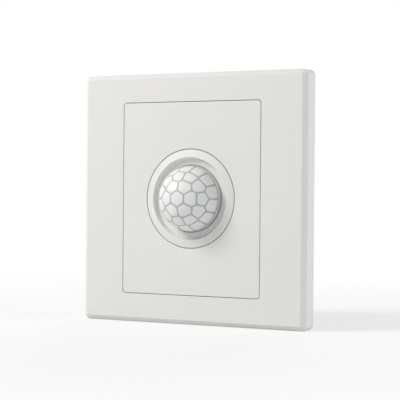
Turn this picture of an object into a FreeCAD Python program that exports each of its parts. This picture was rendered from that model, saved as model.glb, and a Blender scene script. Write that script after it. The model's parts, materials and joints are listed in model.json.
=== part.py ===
import FreeCAD, Part
import math
import os

# Wall-mounted motion sensor relay, all sizes in millimetres.
# X runs to the right, Y runs into the wall, Z runs up.
# The wall surface is the plane Y = 0 and the plate is centred on the origin.

# Wall plate and centre cover
PLATE_SIDE = 86.0
PLATE_DEPTH = 7.0
PLATE_CORNER_R = 1.9
BEVEL_WIDTH = 1.55
BEVEL_DEPTH = 1.52
FACE_CORNER_R = 0.6
SHELL = 1.8
SKIRT = 1.4
COVER_WIDTH = 52.8
COVER_HEIGHT = 65.9
COVER_CORNER_R = 1.0
COVER_GAP = 0.2
PEG_WIDTH = 4.0
PEG_THICK = 1.6
PEG_GAP = 0.2
PEG_INSET = 7.0
PEG_STOP = 0.4

# Ring and lens on the centre cover
BEZEL_R = 16.75
BEZEL_GAP = 0.3
BEZEL_SEAT_DEPTH = 0.9
RIM_R = 14.1
RIM_RISE = 0.63
RECESS_R = 13.42
RECESS_DEPTH = 1.03
RECESS_FLOOR = 0.9
TUBE_WALL = 0.8
LENS_R = 11.2
LENS_GAP = 0.4
LENS_WALL = 0.7
LENS_FLANGE = 0.8
RETAINER_DEPTH = 1.1
SNAP_COUNT = 4
SNAP_ANGLE = 24.0
SNAP_REACH = 0.8
SNAP_DEPTH = 0.7
SNAP_GAP = 0.1

# Support plate
CARRIER_MARGIN = 1.2
CARRIER_DEPTH = 2.4
CARRIER_CORNER_R = 2.0
TAB_SIDE = 5.0
RIM_SUNK = 0.6
RIM_GAP = 0.1
FIXING_SPACING = 60.3
FIXING_SLOT_R = 2.1
FIXING_SLOT_LENGTH = 7.0

# Rear housing and the two boards
HOUSING_LEDGE = 2.4
HOUSING_DEPTH = 26.0
HOUSING_WALL = 1.8
HOUSING_CORNER_R = 2.5
POST_SIDE = 6.0
POST_REACH = 9.0
BOARD_GAP = 0.3
BOARD_THICK = 1.6
SPACER_LENGTH = 5.0
SPACER_R = 2.6
VENT_COUNT = 5
VENT_WIDTH = 1.4
VENT_LENGTH = 10.0
CLAW_GROOVE_WIDTH = 4.0
CLAW_GROOVE_DEPTH = 0.5
CLAW_GROOVE_LENGTH = 19.0
CLAW_GROOVE_MARGIN = 8.5
POST_RELIEF_R = 2.2
POST_RELIEF_DEPTH = 0.5
LABEL_WIDTH = 33.4
LABEL_HEIGHT = 17.4
LABEL_CORNER_R = 1.2
LABEL_THICK = 0.15
LABEL_SUNK = 0.3
LABEL_GAP = 0.3
LABEL_RISE = 5.0

# Fits
RUNNING_FIT = 0.05
PIN_GAP = 0.3
FACE_GAP = 0.1

# Screws that clamp the boards between support plate and housing
SCREW_R = 1.25
SCREW_HEAD_R = 2.3
SCREW_HEAD_DEPTH = 1.5
SCREW_GRIP = 8.0
SCREW_CLEARANCE = 0.35
DRIVE_WIDTH = 0.7
DRIVE_DEPTH = 0.8

# Infrared sensor under the lens
SOCKET_R = 4.8
SOCKET_DEPTH = 1.5
CAN_BASE_R = 4.6
CAN_BASE_DEPTH = 0.6
CAN_R = 4.1
CAN_DEPTH = 4.2
CAN_WINDOW_WIDTH = 4.0
CAN_WINDOW_HEIGHT = 3.0
CAN_WINDOW_DEPTH = 0.4
CAN_PIN_CIRCLE_R = 2.54
CAN_PIN_COUNT = 3
LEAD_R = 0.25
LEAD_TAIL = 1.4

# Lamp and light sensor beside it
LAMP_OFFSET = 7.6
LAMP_R = 1.5
LAMP_DEPTH = 4.0
LAMP_BASE_R = 1.8
LAMP_BASE_DEPTH = 0.8
LIGHT_SENSOR_WIDTH = 4.2
LIGHT_SENSOR_HEIGHT = 2.2
LIGHT_SENSOR_DEPTH = 2.8

# Setting controls behind the centre cover
CONTROL_GAP = 0.58
TRIMMER_COUNT = 3
TRIMMER_GAP = 3.1
TRIMMER_SIDE = 6.4
TRIMMER_DEPTH = 3.2
TRIMMER_CORNER_R = 0.5
KNOB_R = 2.5
KNOB_SUNK = 1.2
KNOB_PROUD = 1.2
KNOB_SLOT_WIDTH = 0.7
KNOB_SLOT_LENGTH = 3.8
KNOB_SLOT_DEPTH = 0.8
SWITCH_OFFSET = 10.0
SWITCH_WIDTH = 9.0
SWITCH_HEIGHT = 4.4
SWITCH_DEPTH = 3.0
SLIDER_WIDTH = 2.4
SLIDER_HEIGHT = 1.5
SLIDER_PROUD = 1.6
SLIDER_SUNK = 2.0
SLIDER_TRAVEL = 3.0
BUTTON_SIDE = 6.0
BUTTON_DEPTH = 2.8
BUTTON_R = 1.7
BUTTON_PROUD = 1.5
BUTTON_SUNK = 1.4
BUTTON_TRAVEL = 0.5

# Small parts on the sensor board
CHIP_MARGIN = 1.6
CHIP_WIDTH = 4.0
CHIP_HEIGHT = 9.0
CHIP_DEPTH = 1.6
RESISTOR_COUNT = 6
RESISTOR_WIDTH = 2.0
RESISTOR_HEIGHT = 1.25
RESISTOR_DEPTH = 0.5
RESISTOR_PITCH = 2.6
CAPACITOR_COUNT = 4
CAPACITOR_DEPTH = 1.0
CAPACITOR_PITCH = 3.2
CAPACITOR_SHIFT = 3.0

# Header that joins the two boards
HEADER_WIDTH = 2.5
HEADER_PITCH = 2.0
HEADER_PIN_COUNT = 6
HEADER_PIN_SIDE = 0.5
HEADER_TAIL = 0.8

# Terminal block at the lower edge
POLES = 4
POLE_PITCH = 7.5
CHAMBER_WIDTH = 6.2
BLOCK_SIDE_WALL = 0.65
BLOCK_LENGTH = 11.0
BLOCK_FLOOR = 1.2
BLOCK_BACK = 1.0
BLOCK_ROOF = 1.0
BLOCK_TOP_GAP = 0.1
ENTRY_MARGIN = 0.6
CAGE_GAP = 0.1
CAGE_LENGTH = 6.0
CAGE_SIDE = 0.7
CAGE_BOTTOM = 0.8
CAGE_TOP = 1.3
CAGE_SPACE = 5.9
CAGE_INSET = 2.0
BAR_THICK = 0.8
BAR_WIDTH = 3.2
BAR_HEADROOM = 0.3
BAR_INSET = 1.2
CLAMP_SCREW_R = 1.3
CLAMP_HEAD_R = 2.2
CLAMP_HEAD_DEPTH = 1.5
CLAMP_HEAD_GAP = 0.3
LEG_TAIL = 1.2
ACCESS_MARGIN = 0.5

# Relay
PART_GAP = 1.2
RELAY_WIDTH = 19.0
RELAY_HEIGHT = 15.4
RELAY_TOP_GAP = 0.8
RELAY_WALL = 0.8
RELAY_BASE_DEPTH = 2.4
YOKE_THICK = 1.2
YOKE_WIDTH = 9.0
YOKE_FROM_CENTRE = 4.6
COIL_FROM_CENTRE = -2.5
CORE_R = 1.9
BOBBIN_R = 4.9
BOBBIN_FLANGE = 0.8
BOBBIN_WALL = 0.6
COIL_R = 4.4
AIR_GAP = 0.45
ARMATURE_THICK = 1.2
ARMATURE_REACH = 12.2
ARMATURE_OVERHANG = 1.2
ARMATURE_ROOM = 1.35
HINGE_GAP = 0.1
BLADE_THICK = 0.3
BLADE_WIDTH = 4.0
BLADE_FLOOR_GAP = 0.85
CONTACT_R = 1.0
CONTACT_DEPTH = 0.4
CONTACT_TRAVEL = 0.3
CONTACT_FROM_TIP = 1.2
STRIP_THICK = 0.4
STRIP_WIDTH = 3.2
RELAY_PIN_R = 0.45

# Power supply parts on the relay board
FILM_WIDTH = 13.0
FILM_HEIGHT = 6.0
FILM_DEPTH = 11.0
CORE_WIDTH = 12.0
CORE_HEIGHT = 10.0
CORE_DEPTH = 10.0
CORE_LIMB = 2.4
WINDING_GAP = 0.3
BULK_R = 4.0
BULK_DEPTH = 12.0
SMOOTHING_R = 3.15
SMOOTHING_DEPTH = 11.0
CAN_GROOVE_DEPTH = 0.3
CAN_GROOVE_WIDTH = 0.6
CAN_GROOVE_HEIGHT = 1.8
VARISTOR_R = 4.5
VARISTOR_THICK = 3.6
VARISTOR_LIFT = 1.0
FUSE_R = 1.6
FUSE_LENGTH = 9.0
BRIDGE_WIDTH = 5.0
BRIDGE_HEIGHT = 6.4
BRIDGE_DEPTH = 2.6
LEAD_SPACING = 5.0
EDGE_MARGIN = 1.0

# Levels and places that follow from the sizes above
FACE_Y = -PLATE_DEPTH
INNER_Y = FACE_Y + SHELL
CARRIER_Y = -CARRIER_DEPTH
RIM_Y = FACE_Y - RIM_RISE
SEAT_Y = FACE_Y + BEZEL_SEAT_DEPTH
FLOOR_Y = FACE_Y + RECESS_DEPTH
FLANGE_Y = FLOOR_Y + RECESS_FLOOR
RETAINER_Y = FLANGE_Y + LENS_FLANGE
TUBE_END_Y = RETAINER_Y + RETAINER_DEPTH
TUBE_INNER_R = RECESS_R
TUBE_R = TUBE_INNER_R + TUBE_WALL
LENS_OPENING_R = LENS_R + LENS_GAP
LENS_INNER_R = LENS_R - LENS_WALL
FLANGE_R = TUBE_INNER_R - BEZEL_GAP
CARRIER_SIDE = PLATE_SIDE - 2 * SHELL - 2 * CARRIER_MARGIN
OPENING_SIDE = 2 * (TUBE_R + CONTROL_GAP + TRIMMER_SIDE + FACE_GAP)
CONTROL_OFFSET = OPENING_SIDE / 2 - FACE_GAP - TRIMMER_SIDE / 2
TRIMMER_PITCH = TRIMMER_SIDE + TRIMMER_GAP
CHIP_OFFSET = OPENING_SIDE / 2 - CHIP_MARGIN - CHIP_WIDTH / 2
HOUSING_INNER = OPENING_SIDE + 2 * HOUSING_LEDGE
HOUSING_SIDE = HOUSING_INNER + 2 * HOUSING_WALL
SENSOR_BACK_Y = BOARD_THICK
RELAY_FRONT_Y = SENSOR_BACK_Y + SPACER_LENGTH
RELAY_BACK_Y = RELAY_FRONT_Y + BOARD_THICK
HOUSING_BACK_Y = HOUSING_DEPTH - HOUSING_WALL
BOARD_SIDE = HOUSING_INNER - 2 * BOARD_GAP
BOARD_HALF = BOARD_SIDE / 2
POST_AT = HOUSING_INNER / 2 - POST_SIDE / 2
HEADER_X = POST_AT
HEADER_HEIGHT = HEADER_PIN_COUNT * HEADER_PITCH
BLOCK_WIDTH = (POLES - 1) * POLE_PITCH + CHAMBER_WIDTH + 2 * BLOCK_SIDE_WALL
BLOCK_LOW_Z = -BOARD_HALF
BLOCK_HIGH_Z = BLOCK_LOW_Z + BLOCK_LENGTH
BLOCK_TOP_Y = HOUSING_BACK_Y - BLOCK_TOP_GAP
HEAD_SEAT_Y = BLOCK_TOP_Y - CLAMP_HEAD_DEPTH - CLAMP_HEAD_GAP
CHAMBER_TOP_Y = HEAD_SEAT_Y - BLOCK_ROOF
CHAMBER_LOW_Y = RELAY_BACK_Y + BLOCK_FLOOR
CAGE_LOW_Y = CHAMBER_LOW_Y + CAGE_GAP
CAGE_FLOOR_Y = CAGE_LOW_Y + CAGE_BOTTOM
CAGE_ROOF_Y = CAGE_FLOOR_Y + CAGE_SPACE
BAR_TOP_Y = CAGE_ROOF_Y - BAR_HEADROOM
BAR_LOW_Y = BAR_TOP_Y - BAR_THICK
CAGE_WIDTH = CHAMBER_WIDTH - 2 * CAGE_GAP
CAGE_Z = BLOCK_LOW_Z + CAGE_INSET + CAGE_LENGTH / 2
LEG_Z = BLOCK_HIGH_Z - BLOCK_BACK - BAR_THICK
RELAY_DEPTH = HOUSING_BACK_Y - RELAY_BACK_Y - RELAY_TOP_GAP
RELAY_TOP_Y = RELAY_BACK_Y + RELAY_DEPTH
RELAY_X = -BOARD_HALF + EDGE_MARGIN + RELAY_WIDTH / 2
RELAY_Z = BLOCK_HIGH_Z + PART_GAP + RELAY_HEIGHT / 2
RELAY_FLOOR_Y = RELAY_BACK_Y + RELAY_BASE_DEPTH
ARMATURE_Y = RELAY_TOP_Y - RELAY_WALL - ARMATURE_ROOM - ARMATURE_THICK
POLE_Y = ARMATURE_Y - AIR_GAP
HINGE_X = RELAY_X + YOKE_FROM_CENTRE
BLADE_X = HINGE_X + ARMATURE_OVERHANG
BLADE_TIP_Y = RELAY_FLOOR_Y + BLADE_FLOOR_GAP
CONTACT_Y = BLADE_TIP_Y + CONTACT_FROM_TIP
COIL_X = RELAY_X + COIL_FROM_CENTRE
FILM_X = RELAY_X + RELAY_WIDTH / 2 + PART_GAP + FILM_WIDTH / 2
FILM_Z = BLOCK_HIGH_Z + PART_GAP + FILM_HEIGHT / 2
CORE_X = RELAY_X + RELAY_WIDTH / 2 + PART_GAP + CORE_WIDTH / 2
CORE_Z = FILM_Z + FILM_HEIGHT / 2 + PART_GAP + CORE_HEIGHT / 2
BULK_X = RELAY_X
BULK_Z = RELAY_Z + RELAY_HEIGHT / 2 + PART_GAP + BULK_R
SMOOTHING_X = BULK_X + BULK_R + PART_GAP + SMOOTHING_R
SMOOTHING_Z = BULK_Z
VARISTOR_X = CORE_X
VARISTOR_Z = CORE_Z + CORE_HEIGHT / 2 + PART_GAP + VARISTOR_THICK / 2
FUSE_X = 0.0
FUSE_Z = BOARD_HALF - EDGE_MARGIN - FUSE_R
BRIDGE_X = FILM_X + FILM_WIDTH / 2 + PART_GAP + BRIDGE_WIDTH / 2
BRIDGE_Z = FILM_Z


def slab(width, height, y_from, y_to, x=0.0, z=0.0):
    """Box centred on (x, z) between two depths."""
    low = min(y_from, y_to)
    corner = FreeCAD.Vector(x - width / 2, low, z - height / 2)
    return Part.makeBox(width, abs(y_to - y_from), height, corner)


def rod(radius, y_from, y_to, x=0.0, z=0.0):
    """Cylinder along Y between two depths."""
    low = min(y_from, y_to)
    start = FreeCAD.Vector(x, low, z)
    return Part.makeCylinder(radius, abs(y_to - y_from), start, FreeCAD.Vector(0, 1, 0))


def tube(outer, inner, y_from, y_to, x=0.0, z=0.0):
    """Hollow cylinder along Y."""
    return rod(outer, y_from, y_to, x, z).cut(rod(inner, y_from, y_to, x, z))


def turned(profile):
    """Body of revolution about Y from (radius, y) points."""
    points = [FreeCAD.Vector(radius, y, 0) for radius, y in profile]
    face = Part.Face(Part.makePolygon(points + points[:1]))
    return face.revolve(FreeCAD.Vector(0, 0, 0), FreeCAD.Vector(0, 1, 0), 360)


def rounded_wire(width, height, radius, y, x=0.0, z=0.0):
    """Rectangle outline with rounded corners at one depth."""
    corners = []
    for index, (side, level) in enumerate(((1, 1), (-1, 1), (-1, -1), (1, -1))):
        centre_x = x + side * (width / 2 - radius)
        centre_z = z + level * (height / 2 - radius)
        points = []
        for step in range(3):
            angle = math.radians(90 * index + 45 * step)
            across = centre_x + radius * math.cos(angle)
            up = centre_z + radius * math.sin(angle)
            points.append(FreeCAD.Vector(across, y, up))
        corners.append(points)
    edges = []
    for index, points in enumerate(corners):
        after = corners[(index + 1) % len(corners)]
        edges.append(Part.Arc(*points).toShape())
        edges.append(Part.makeLine(points[-1], after[0]))
    return Part.Wire(edges)


def rounded_slab(width, height, radius, y_from, y_to, x=0.0, z=0.0):
    """Box with corners rounded about Y."""
    face = Part.Face(rounded_wire(width, height, radius, y_from, x, z))
    return face.extrude(FreeCAD.Vector(0, y_to - y_from, 0))


def fused(shapes):
    """Union of several shapes as one clean solid."""
    whole = shapes[0].fuse(shapes[1:]) if len(shapes) > 1 else shapes[0]
    return whole.removeSplitter()


def four_corners(offset_x, offset_z):
    """The same offset in all four quadrants."""
    return [(side * offset_x, level * offset_z) for side in (-1, 1) for level in (-1, 1)]


def spread(count, pitch):
    """Evenly spaced positions centred on zero."""
    return [(index - (count - 1) / 2) * pitch for index in range(count)]


def cross_drive(radius, y_open, y_deep, x, z):
    """Cutter for a cross recess in a screw head."""
    upright = slab(DRIVE_WIDTH, 2 * radius, y_open, y_deep, x, z)
    level = slab(2 * radius, DRIVE_WIDTH, y_open, y_deep, x, z)
    return upright.fuse(level)


def peg_places(width, height):
    """Places of the four friction pegs inside a moulded part."""
    return four_corners(width / 2 - PEG_INSET, height / 2)


def frame_pegs():
    """Places of the pegs of the outer frame."""
    middle = (COVER_HEIGHT / 2 + CARRIER_SIDE / 2) / 2
    return peg_places(PLATE_SIDE, 2 * middle)


def cover_pegs():
    """Places of the pegs of the centre cover."""
    middle = (HOUSING_SIDE / 2 + COVER_HEIGHT / 2 - SKIRT) / 2
    return peg_places(COVER_WIDTH, 2 * middle)


def outer_frame():
    """Bevelled square frame, hollow behind, with the window for the cover."""
    bevel_y = FACE_Y + BEVEL_DEPTH
    face_side = PLATE_SIDE - 2 * BEVEL_WIDTH
    block = rounded_slab(PLATE_SIDE, PLATE_SIDE, PLATE_CORNER_R, 0, bevel_y)
    rear = rounded_wire(PLATE_SIDE, PLATE_SIDE, PLATE_CORNER_R, bevel_y)
    front = rounded_wire(face_side, face_side, FACE_CORNER_R, FACE_Y)
    bevel = Part.makeLoft([rear, front], True, True)
    inner = PLATE_SIDE - 2 * SHELL
    hollow = rounded_slab(inner, inner, PLATE_CORNER_R, 0, INNER_Y)
    window_width = COVER_WIDTH + 2 * COVER_GAP
    window_height = COVER_HEIGHT + 2 * COVER_GAP
    corner = COVER_CORNER_R + COVER_GAP
    window = rounded_slab(window_width, window_height, corner, 0, FACE_Y)
    skirt_width = window_width + 2 * SKIRT
    skirt_height = window_height + 2 * SKIRT
    skirt = rounded_slab(skirt_width, skirt_height, corner + SKIRT, CARRIER_Y, INNER_Y)
    body = block.fuse(bevel).cut(hollow).fuse(skirt).cut(window)
    pegs = [slab(PEG_WIDTH, PEG_THICK, INNER_Y, -PEG_STOP, x, z) for x, z in frame_pegs()]
    return fused([body] + pegs)


def centre_cover():
    """Portrait cover with a stepped hole for the ring."""
    body = rounded_slab(COVER_WIDTH, COVER_HEIGHT, COVER_CORNER_R, CARRIER_Y, FACE_Y)
    inside_width = COVER_WIDTH - 2 * SKIRT
    inside_height = COVER_HEIGHT - 2 * SKIRT
    body = body.cut(slab(inside_width, inside_height, CARRIER_Y, INNER_Y))
    body = body.cut(rod(TUBE_R + BEZEL_GAP, INNER_Y, FACE_Y))
    body = body.cut(rod(BEZEL_R + BEZEL_GAP, SEAT_Y, FACE_Y))
    pegs = [slab(PEG_WIDTH, PEG_THICK, INNER_Y, -PEG_STOP, x, z) for x, z in cover_pegs()]
    return fused([body] + pegs)


def snap(turn):
    """One snap wedge of the ring, behind the cover."""
    front_y = INNER_Y + SNAP_GAP
    inside = TUBE_R - TUBE_WALL / 2
    points = [
        FreeCAD.Vector(inside, front_y, 0),
        FreeCAD.Vector(TUBE_R + SNAP_REACH, front_y, 0),
        FreeCAD.Vector(TUBE_R, front_y + SNAP_DEPTH, 0),
        FreeCAD.Vector(inside, front_y + SNAP_DEPTH, 0),
    ]
    face = Part.Face(Part.makePolygon(points + points[:1]))
    wedge = face.revolve(FreeCAD.Vector(0, 0, 0), FreeCAD.Vector(0, 1, 0), SNAP_ANGLE)
    wedge.rotate(FreeCAD.Vector(0, 0, 0), FreeCAD.Vector(0, 1, 0), turn - SNAP_ANGLE / 2)
    return wedge


def lens_bezel():
    """Raised ring with the sunken floor round the lens and a snap tube behind."""
    body = turned([
        (LENS_OPENING_R, FLOOR_Y),
        (RECESS_R, FLOOR_Y),
        (RIM_R, RIM_Y),
        (BEZEL_R, FACE_Y),
        (BEZEL_R, SEAT_Y),
        (TUBE_R, SEAT_Y),
        (TUBE_R, TUBE_END_Y),
        (TUBE_INNER_R, TUBE_END_Y),
        (TUBE_INNER_R, FLANGE_Y),
        (LENS_OPENING_R, FLANGE_Y),
    ])
    snaps = []
    for index in range(SNAP_COUNT):
        snaps.append(snap(math.degrees(2 * math.pi * (index + 0.5) / SNAP_COUNT)))
    return fused([body] + snaps)


def dome_lens():
    """Half-sphere lens on a short skirt with a seating flange."""
    centre = FreeCAD.Vector(0, FLOOR_Y, 0)
    ball = Part.makeSphere(LENS_R, centre).cut(Part.makeSphere(LENS_INNER_R, centre))
    span = 2 * LENS_R
    front = slab(span, span, FLOOR_Y, FLOOR_Y - LENS_R)
    dome = ball.common(front)
    skirt = tube(LENS_R, LENS_INNER_R, FLOOR_Y, RETAINER_Y)
    flange = tube(FLANGE_R, LENS_INNER_R, FLANGE_Y, RETAINER_Y)
    return fused([dome, skirt, flange])


def lens_retainer():
    """Ring that closes the tube behind the lens flange."""
    return tube(FLANGE_R, LENS_INNER_R, RETAINER_Y, TUBE_END_Y)


def fixing_slot(x):
    """Cutter for one wall fixing slot, long along X."""
    straight = FIXING_SLOT_LENGTH - 2 * FIXING_SLOT_R
    cutters = [slab(straight, 2 * FIXING_SLOT_R, CARRIER_Y, 0, x)]
    for side in (-1, 1):
        cutters.append(rod(FIXING_SLOT_R, CARRIER_Y, 0, x + side * straight / 2))
    return fused(cutters)


def support_plate():
    """Plate on the wall that carries the housing, the frame and the cover."""
    body = rounded_slab(CARRIER_SIDE, CARRIER_SIDE, CARRIER_CORNER_R, CARRIER_Y, 0)
    opening = slab(OPENING_SIDE, OPENING_SIDE, CARRIER_Y, 0)
    tab_at = OPENING_SIDE / 2 - TAB_SIDE / 2
    for x, z in four_corners(tab_at, tab_at):
        opening = opening.cut(slab(TAB_SIDE, TAB_SIDE, CARRIER_Y, 0, x, z))
    body = body.cut(opening)
    for x, z in frame_pegs() + cover_pegs():
        width = PEG_WIDTH + 2 * PEG_GAP
        body = body.cut(slab(width, PEG_THICK + 2 * PEG_GAP, CARRIER_Y, 0, x, z))
    for x, z in four_corners(POST_AT, POST_AT):
        body = body.cut(rod(SCREW_R + SCREW_CLEARANCE, CARRIER_Y, 0, x, z))
    for index in (-1, 1):
        body = body.cut(fixing_slot(index * FIXING_SPACING / 2))
    return body.cut(housing_rim(RIM_GAP, -RIM_SUNK - RIM_GAP))


def housing_rim(gap, y_front):
    """Wall outline of the housing, grown by a gap on both sides, in front of Y = 0."""
    corner = HOUSING_CORNER_R + gap
    side = HOUSING_SIDE + 2 * gap
    inside = HOUSING_INNER - 2 * gap
    inner_r = HOUSING_CORNER_R - HOUSING_WALL - gap
    rim = rounded_slab(side, side, corner, 0, y_front)
    return rim.cut(rounded_slab(inside, inside, inner_r, 0, y_front))


def rear_housing():
    """Box behind the wall surface with corner posts, wire entry and screw access."""
    body = rounded_slab(HOUSING_SIDE, HOUSING_SIDE, HOUSING_CORNER_R, 0, HOUSING_DEPTH)
    inner_r = HOUSING_CORNER_R - HOUSING_WALL
    hollow = rounded_slab(HOUSING_INNER, HOUSING_INNER, inner_r, 0, HOUSING_BACK_Y)
    body = body.cut(hollow).fuse(housing_rim(0, -RIM_SUNK))
    side = POST_SIDE + HOUSING_WALL / 2
    middle = POST_AT + HOUSING_WALL / 4
    corner_r = HOUSING_CORNER_R
    outline = rounded_slab(HOUSING_SIDE, HOUSING_SIDE, corner_r, 0, HOUSING_DEPTH)
    for x, z in four_corners(middle, middle):
        post = slab(side, side, RELAY_BACK_Y, HOUSING_BACK_Y, x, z)
        body = body.fuse(post.common(outline))
    for x, z in four_corners(POST_AT, POST_AT):
        pilot = rod(SCREW_R + RUNNING_FIT, RELAY_BACK_Y, RELAY_BACK_Y + POST_REACH, x, z)
        body = body.cut(pilot)
    entry_width = (POLES - 1) * POLE_PITCH + CHAMBER_WIDTH
    entry_low = CAGE_FLOOR_Y - ENTRY_MARGIN
    entry_high = BAR_TOP_Y + ENTRY_MARGIN
    wall_z = -HOUSING_SIDE / 2 + HOUSING_WALL / 2
    body = body.cut(slab(entry_width, HOUSING_WALL, entry_low, entry_high, 0, wall_z))
    reach = CLAMP_HEAD_R + ACCESS_MARGIN
    access_width = (POLES - 1) * POLE_PITCH + 2 * reach
    body = body.cut(slab(access_width, 2 * reach, HOUSING_BACK_Y, HOUSING_DEPTH, 0, CAGE_Z))
    pitch = 2 * VENT_WIDTH + VENT_WIDTH / 2
    middle_y = (RELAY_BACK_Y + HOUSING_BACK_Y) / 2
    for x in spread(VENT_COUNT, pitch):
        low = middle_y - VENT_LENGTH / 2
        body = body.cut(slab(VENT_WIDTH, HOUSING_WALL, low, low + VENT_LENGTH, x, -wall_z))
    return body.cut(housing_reliefs()).removeSplitter()


def housing_reliefs():
    """Cutters for the label recess, the claw grooves and the hollows behind the posts."""
    groove_x = HOUSING_SIDE / 2 - CLAW_GROOVE_DEPTH / 2
    groove_z = HOUSING_SIDE / 2 - CLAW_GROOVE_MARGIN - CLAW_GROOVE_WIDTH / 2
    groove_y = HOUSING_DEPTH - CLAW_GROOVE_LENGTH
    relief_y = HOUSING_DEPTH - POST_RELIEF_DEPTH
    width = CLAW_GROOVE_DEPTH
    height = CLAW_GROOVE_WIDTH
    cutters = [label_sheet(LABEL_GAP, HOUSING_DEPTH - LABEL_SUNK, HOUSING_DEPTH)]
    for x, z in four_corners(groove_x, groove_z):
        cutters.append(slab(width, height, groove_y, HOUSING_DEPTH, x, z))
    for x, z in four_corners(POST_AT, POST_AT):
        cutters.append(rod(POST_RELIEF_R, relief_y, HOUSING_DEPTH, x, z))
    return Part.makeCompound(cutters)


def label_sheet(gap, y_from, y_to):
    """Outline of the blank label, grown by a gap, between two depths."""
    width = LABEL_WIDTH + 2 * gap
    height = LABEL_HEIGHT + 2 * gap
    return rounded_slab(width, height, LABEL_CORNER_R + gap, y_from, y_to, 0, LABEL_RISE)


def rating_label():
    """Blank label in its recess on the back of the housing."""
    floor_y = HOUSING_DEPTH - LABEL_SUNK
    return label_sheet(0, floor_y, floor_y + LABEL_THICK)


def sensor_pin_places():
    """Places of the three sensor pins."""
    places = []
    for index in range(CAN_PIN_COUNT):
        angle = math.radians(90 + 90 * index)
        x = CAN_PIN_CIRCLE_R * math.cos(angle)
        places.append((x, CAN_PIN_CIRCLE_R * math.sin(angle)))
    return places


def header_places():
    """Places of the header pins."""
    return [(HEADER_X, z) for z in spread(HEADER_PIN_COUNT, HEADER_PITCH)]


def board(y_front):
    """Bare board with its four screw holes and the header holes."""
    body = slab(BOARD_SIDE, BOARD_SIDE, y_front, y_front + BOARD_THICK)
    back = y_front + BOARD_THICK
    for x, z in four_corners(POST_AT, POST_AT):
        body = body.cut(rod(SCREW_R + SCREW_CLEARANCE, y_front, back, x, z))
    hole = HEADER_PIN_SIDE + 2 * PIN_GAP
    for x, z in header_places():
        body = body.cut(slab(hole, hole, y_front, back, x, z))
    return body


def sensor_board():
    """Front board with the infrared sensor and the setting controls."""
    body = board(0)
    for x, z in sensor_pin_places():
        body = body.cut(rod(LEAD_R + PIN_GAP, 0, SENSOR_BACK_Y, x, z))
    return body


def lead_places():
    """Places of the wire leads of the power supply parts."""
    half = LEAD_SPACING / 2
    pairs = [(FILM_X, FILM_Z), (BULK_X, BULK_Z), (CORE_X, CORE_Z)]
    pairs.append((VARISTOR_X, VARISTOR_Z))
    places = []
    for x, z in pairs:
        places.append((x - half, z))
        places.append((x + half, z))
    quarter = half / 2
    places.append((SMOOTHING_X - quarter, SMOOTHING_Z))
    places.append((SMOOTHING_X + quarter, SMOOTHING_Z))
    reach = BRIDGE_HEIGHT / 2 - EDGE_MARGIN
    for side in (-1, 1):
        for level in (-1, 1):
            places.append((BRIDGE_X + side * quarter, BRIDGE_Z + level * reach))
    return places


def relay_pin_places():
    """Places of the five relay pins."""
    half = RELAY_HEIGHT / 2 - 2 * RELAY_WALL
    left = RELAY_X - RELAY_WIDTH / 2 + 2 * RELAY_WALL
    right = RELAY_X + RELAY_WIDTH / 2 - 2 * RELAY_WALL
    return [(left, RELAY_Z - half), (left, RELAY_Z + half), (right, RELAY_Z - half),
            (right, RELAY_Z + half), (right, RELAY_Z)]


def relay_board():
    """Rear board with relay, terminals and power supply."""
    body = board(RELAY_FRONT_Y)
    for x, z in lead_places():
        body = body.cut(rod(LEAD_R + PIN_GAP, RELAY_FRONT_Y, RELAY_BACK_Y, x, z))
    for x, z in relay_pin_places():
        body = body.cut(rod(RELAY_PIN_R + PIN_GAP, RELAY_FRONT_Y, RELAY_BACK_Y, x, z))
    for x in spread(POLES, POLE_PITCH):
        width = BAR_WIDTH + 2 * PIN_GAP
        thick = BAR_THICK + 2 * PIN_GAP
        body = body.cut(slab(width, thick, RELAY_FRONT_Y, RELAY_BACK_Y, x, LEG_Z))
    return body


def board_spacers():
    """Four tubes between the boards."""
    solids = []
    for x, z in four_corners(POST_AT, POST_AT):
        bore = SCREW_R + SCREW_CLEARANCE
        solids.append(tube(SPACER_R, bore, SENSOR_BACK_Y, RELAY_FRONT_Y, x, z))
    return Part.makeCompound(solids)


def housing_screw(x, z):
    """Pan head screw through plate, boards and spacer into a post."""
    head_y = CARRIER_Y - SCREW_HEAD_DEPTH
    shaft = rod(SCREW_R, CARRIER_Y, RELAY_BACK_Y + SCREW_GRIP, x, z)
    head = rod(SCREW_HEAD_R, head_y, CARRIER_Y, x, z)
    head = head.makeChamfer(DRIVE_WIDTH / 2, [head.Edges[2]])
    whole = shaft.fuse(head).removeSplitter()
    reach = SCREW_HEAD_R - DRIVE_WIDTH
    return whole.cut(cross_drive(reach, head_y, head_y + DRIVE_DEPTH, x, z))


def housing_screws():
    """The four screws that hold the stack together."""
    return Part.makeCompound([housing_screw(x, z) for x, z in four_corners(POST_AT, POST_AT)])


def sensor_socket():
    """Insulating spacer under the infrared sensor."""
    body = rod(SOCKET_R, -SOCKET_DEPTH, 0)
    for x, z in sensor_pin_places():
        body = body.cut(rod(LEAD_R + PIN_GAP, -SOCKET_DEPTH, 0, x, z))
    return body


def sensor_can():
    """Metal can of the infrared sensor with its window recess."""
    rear = -SOCKET_DEPTH
    front = rear - CAN_DEPTH
    base = rod(CAN_BASE_R, rear - CAN_BASE_DEPTH, rear)
    barrel = rod(CAN_R, front, rear)
    body = fused([base, barrel])
    deep = front + CAN_WINDOW_DEPTH
    return body.cut(slab(CAN_WINDOW_WIDTH, CAN_WINDOW_HEIGHT, front, deep))


def sensor_window():
    """Filter window let into the can."""
    front = -SOCKET_DEPTH - CAN_DEPTH
    return slab(CAN_WINDOW_WIDTH, CAN_WINDOW_HEIGHT, front, front + CAN_WINDOW_DEPTH)


def sensor_pins():
    """Three pins of the infrared sensor."""
    tail = SENSOR_BACK_Y + LEAD_TAIL
    return Part.makeCompound([rod(LEAD_R, -SOCKET_DEPTH, tail, x, z) for x, z in sensor_pin_places()])


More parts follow.
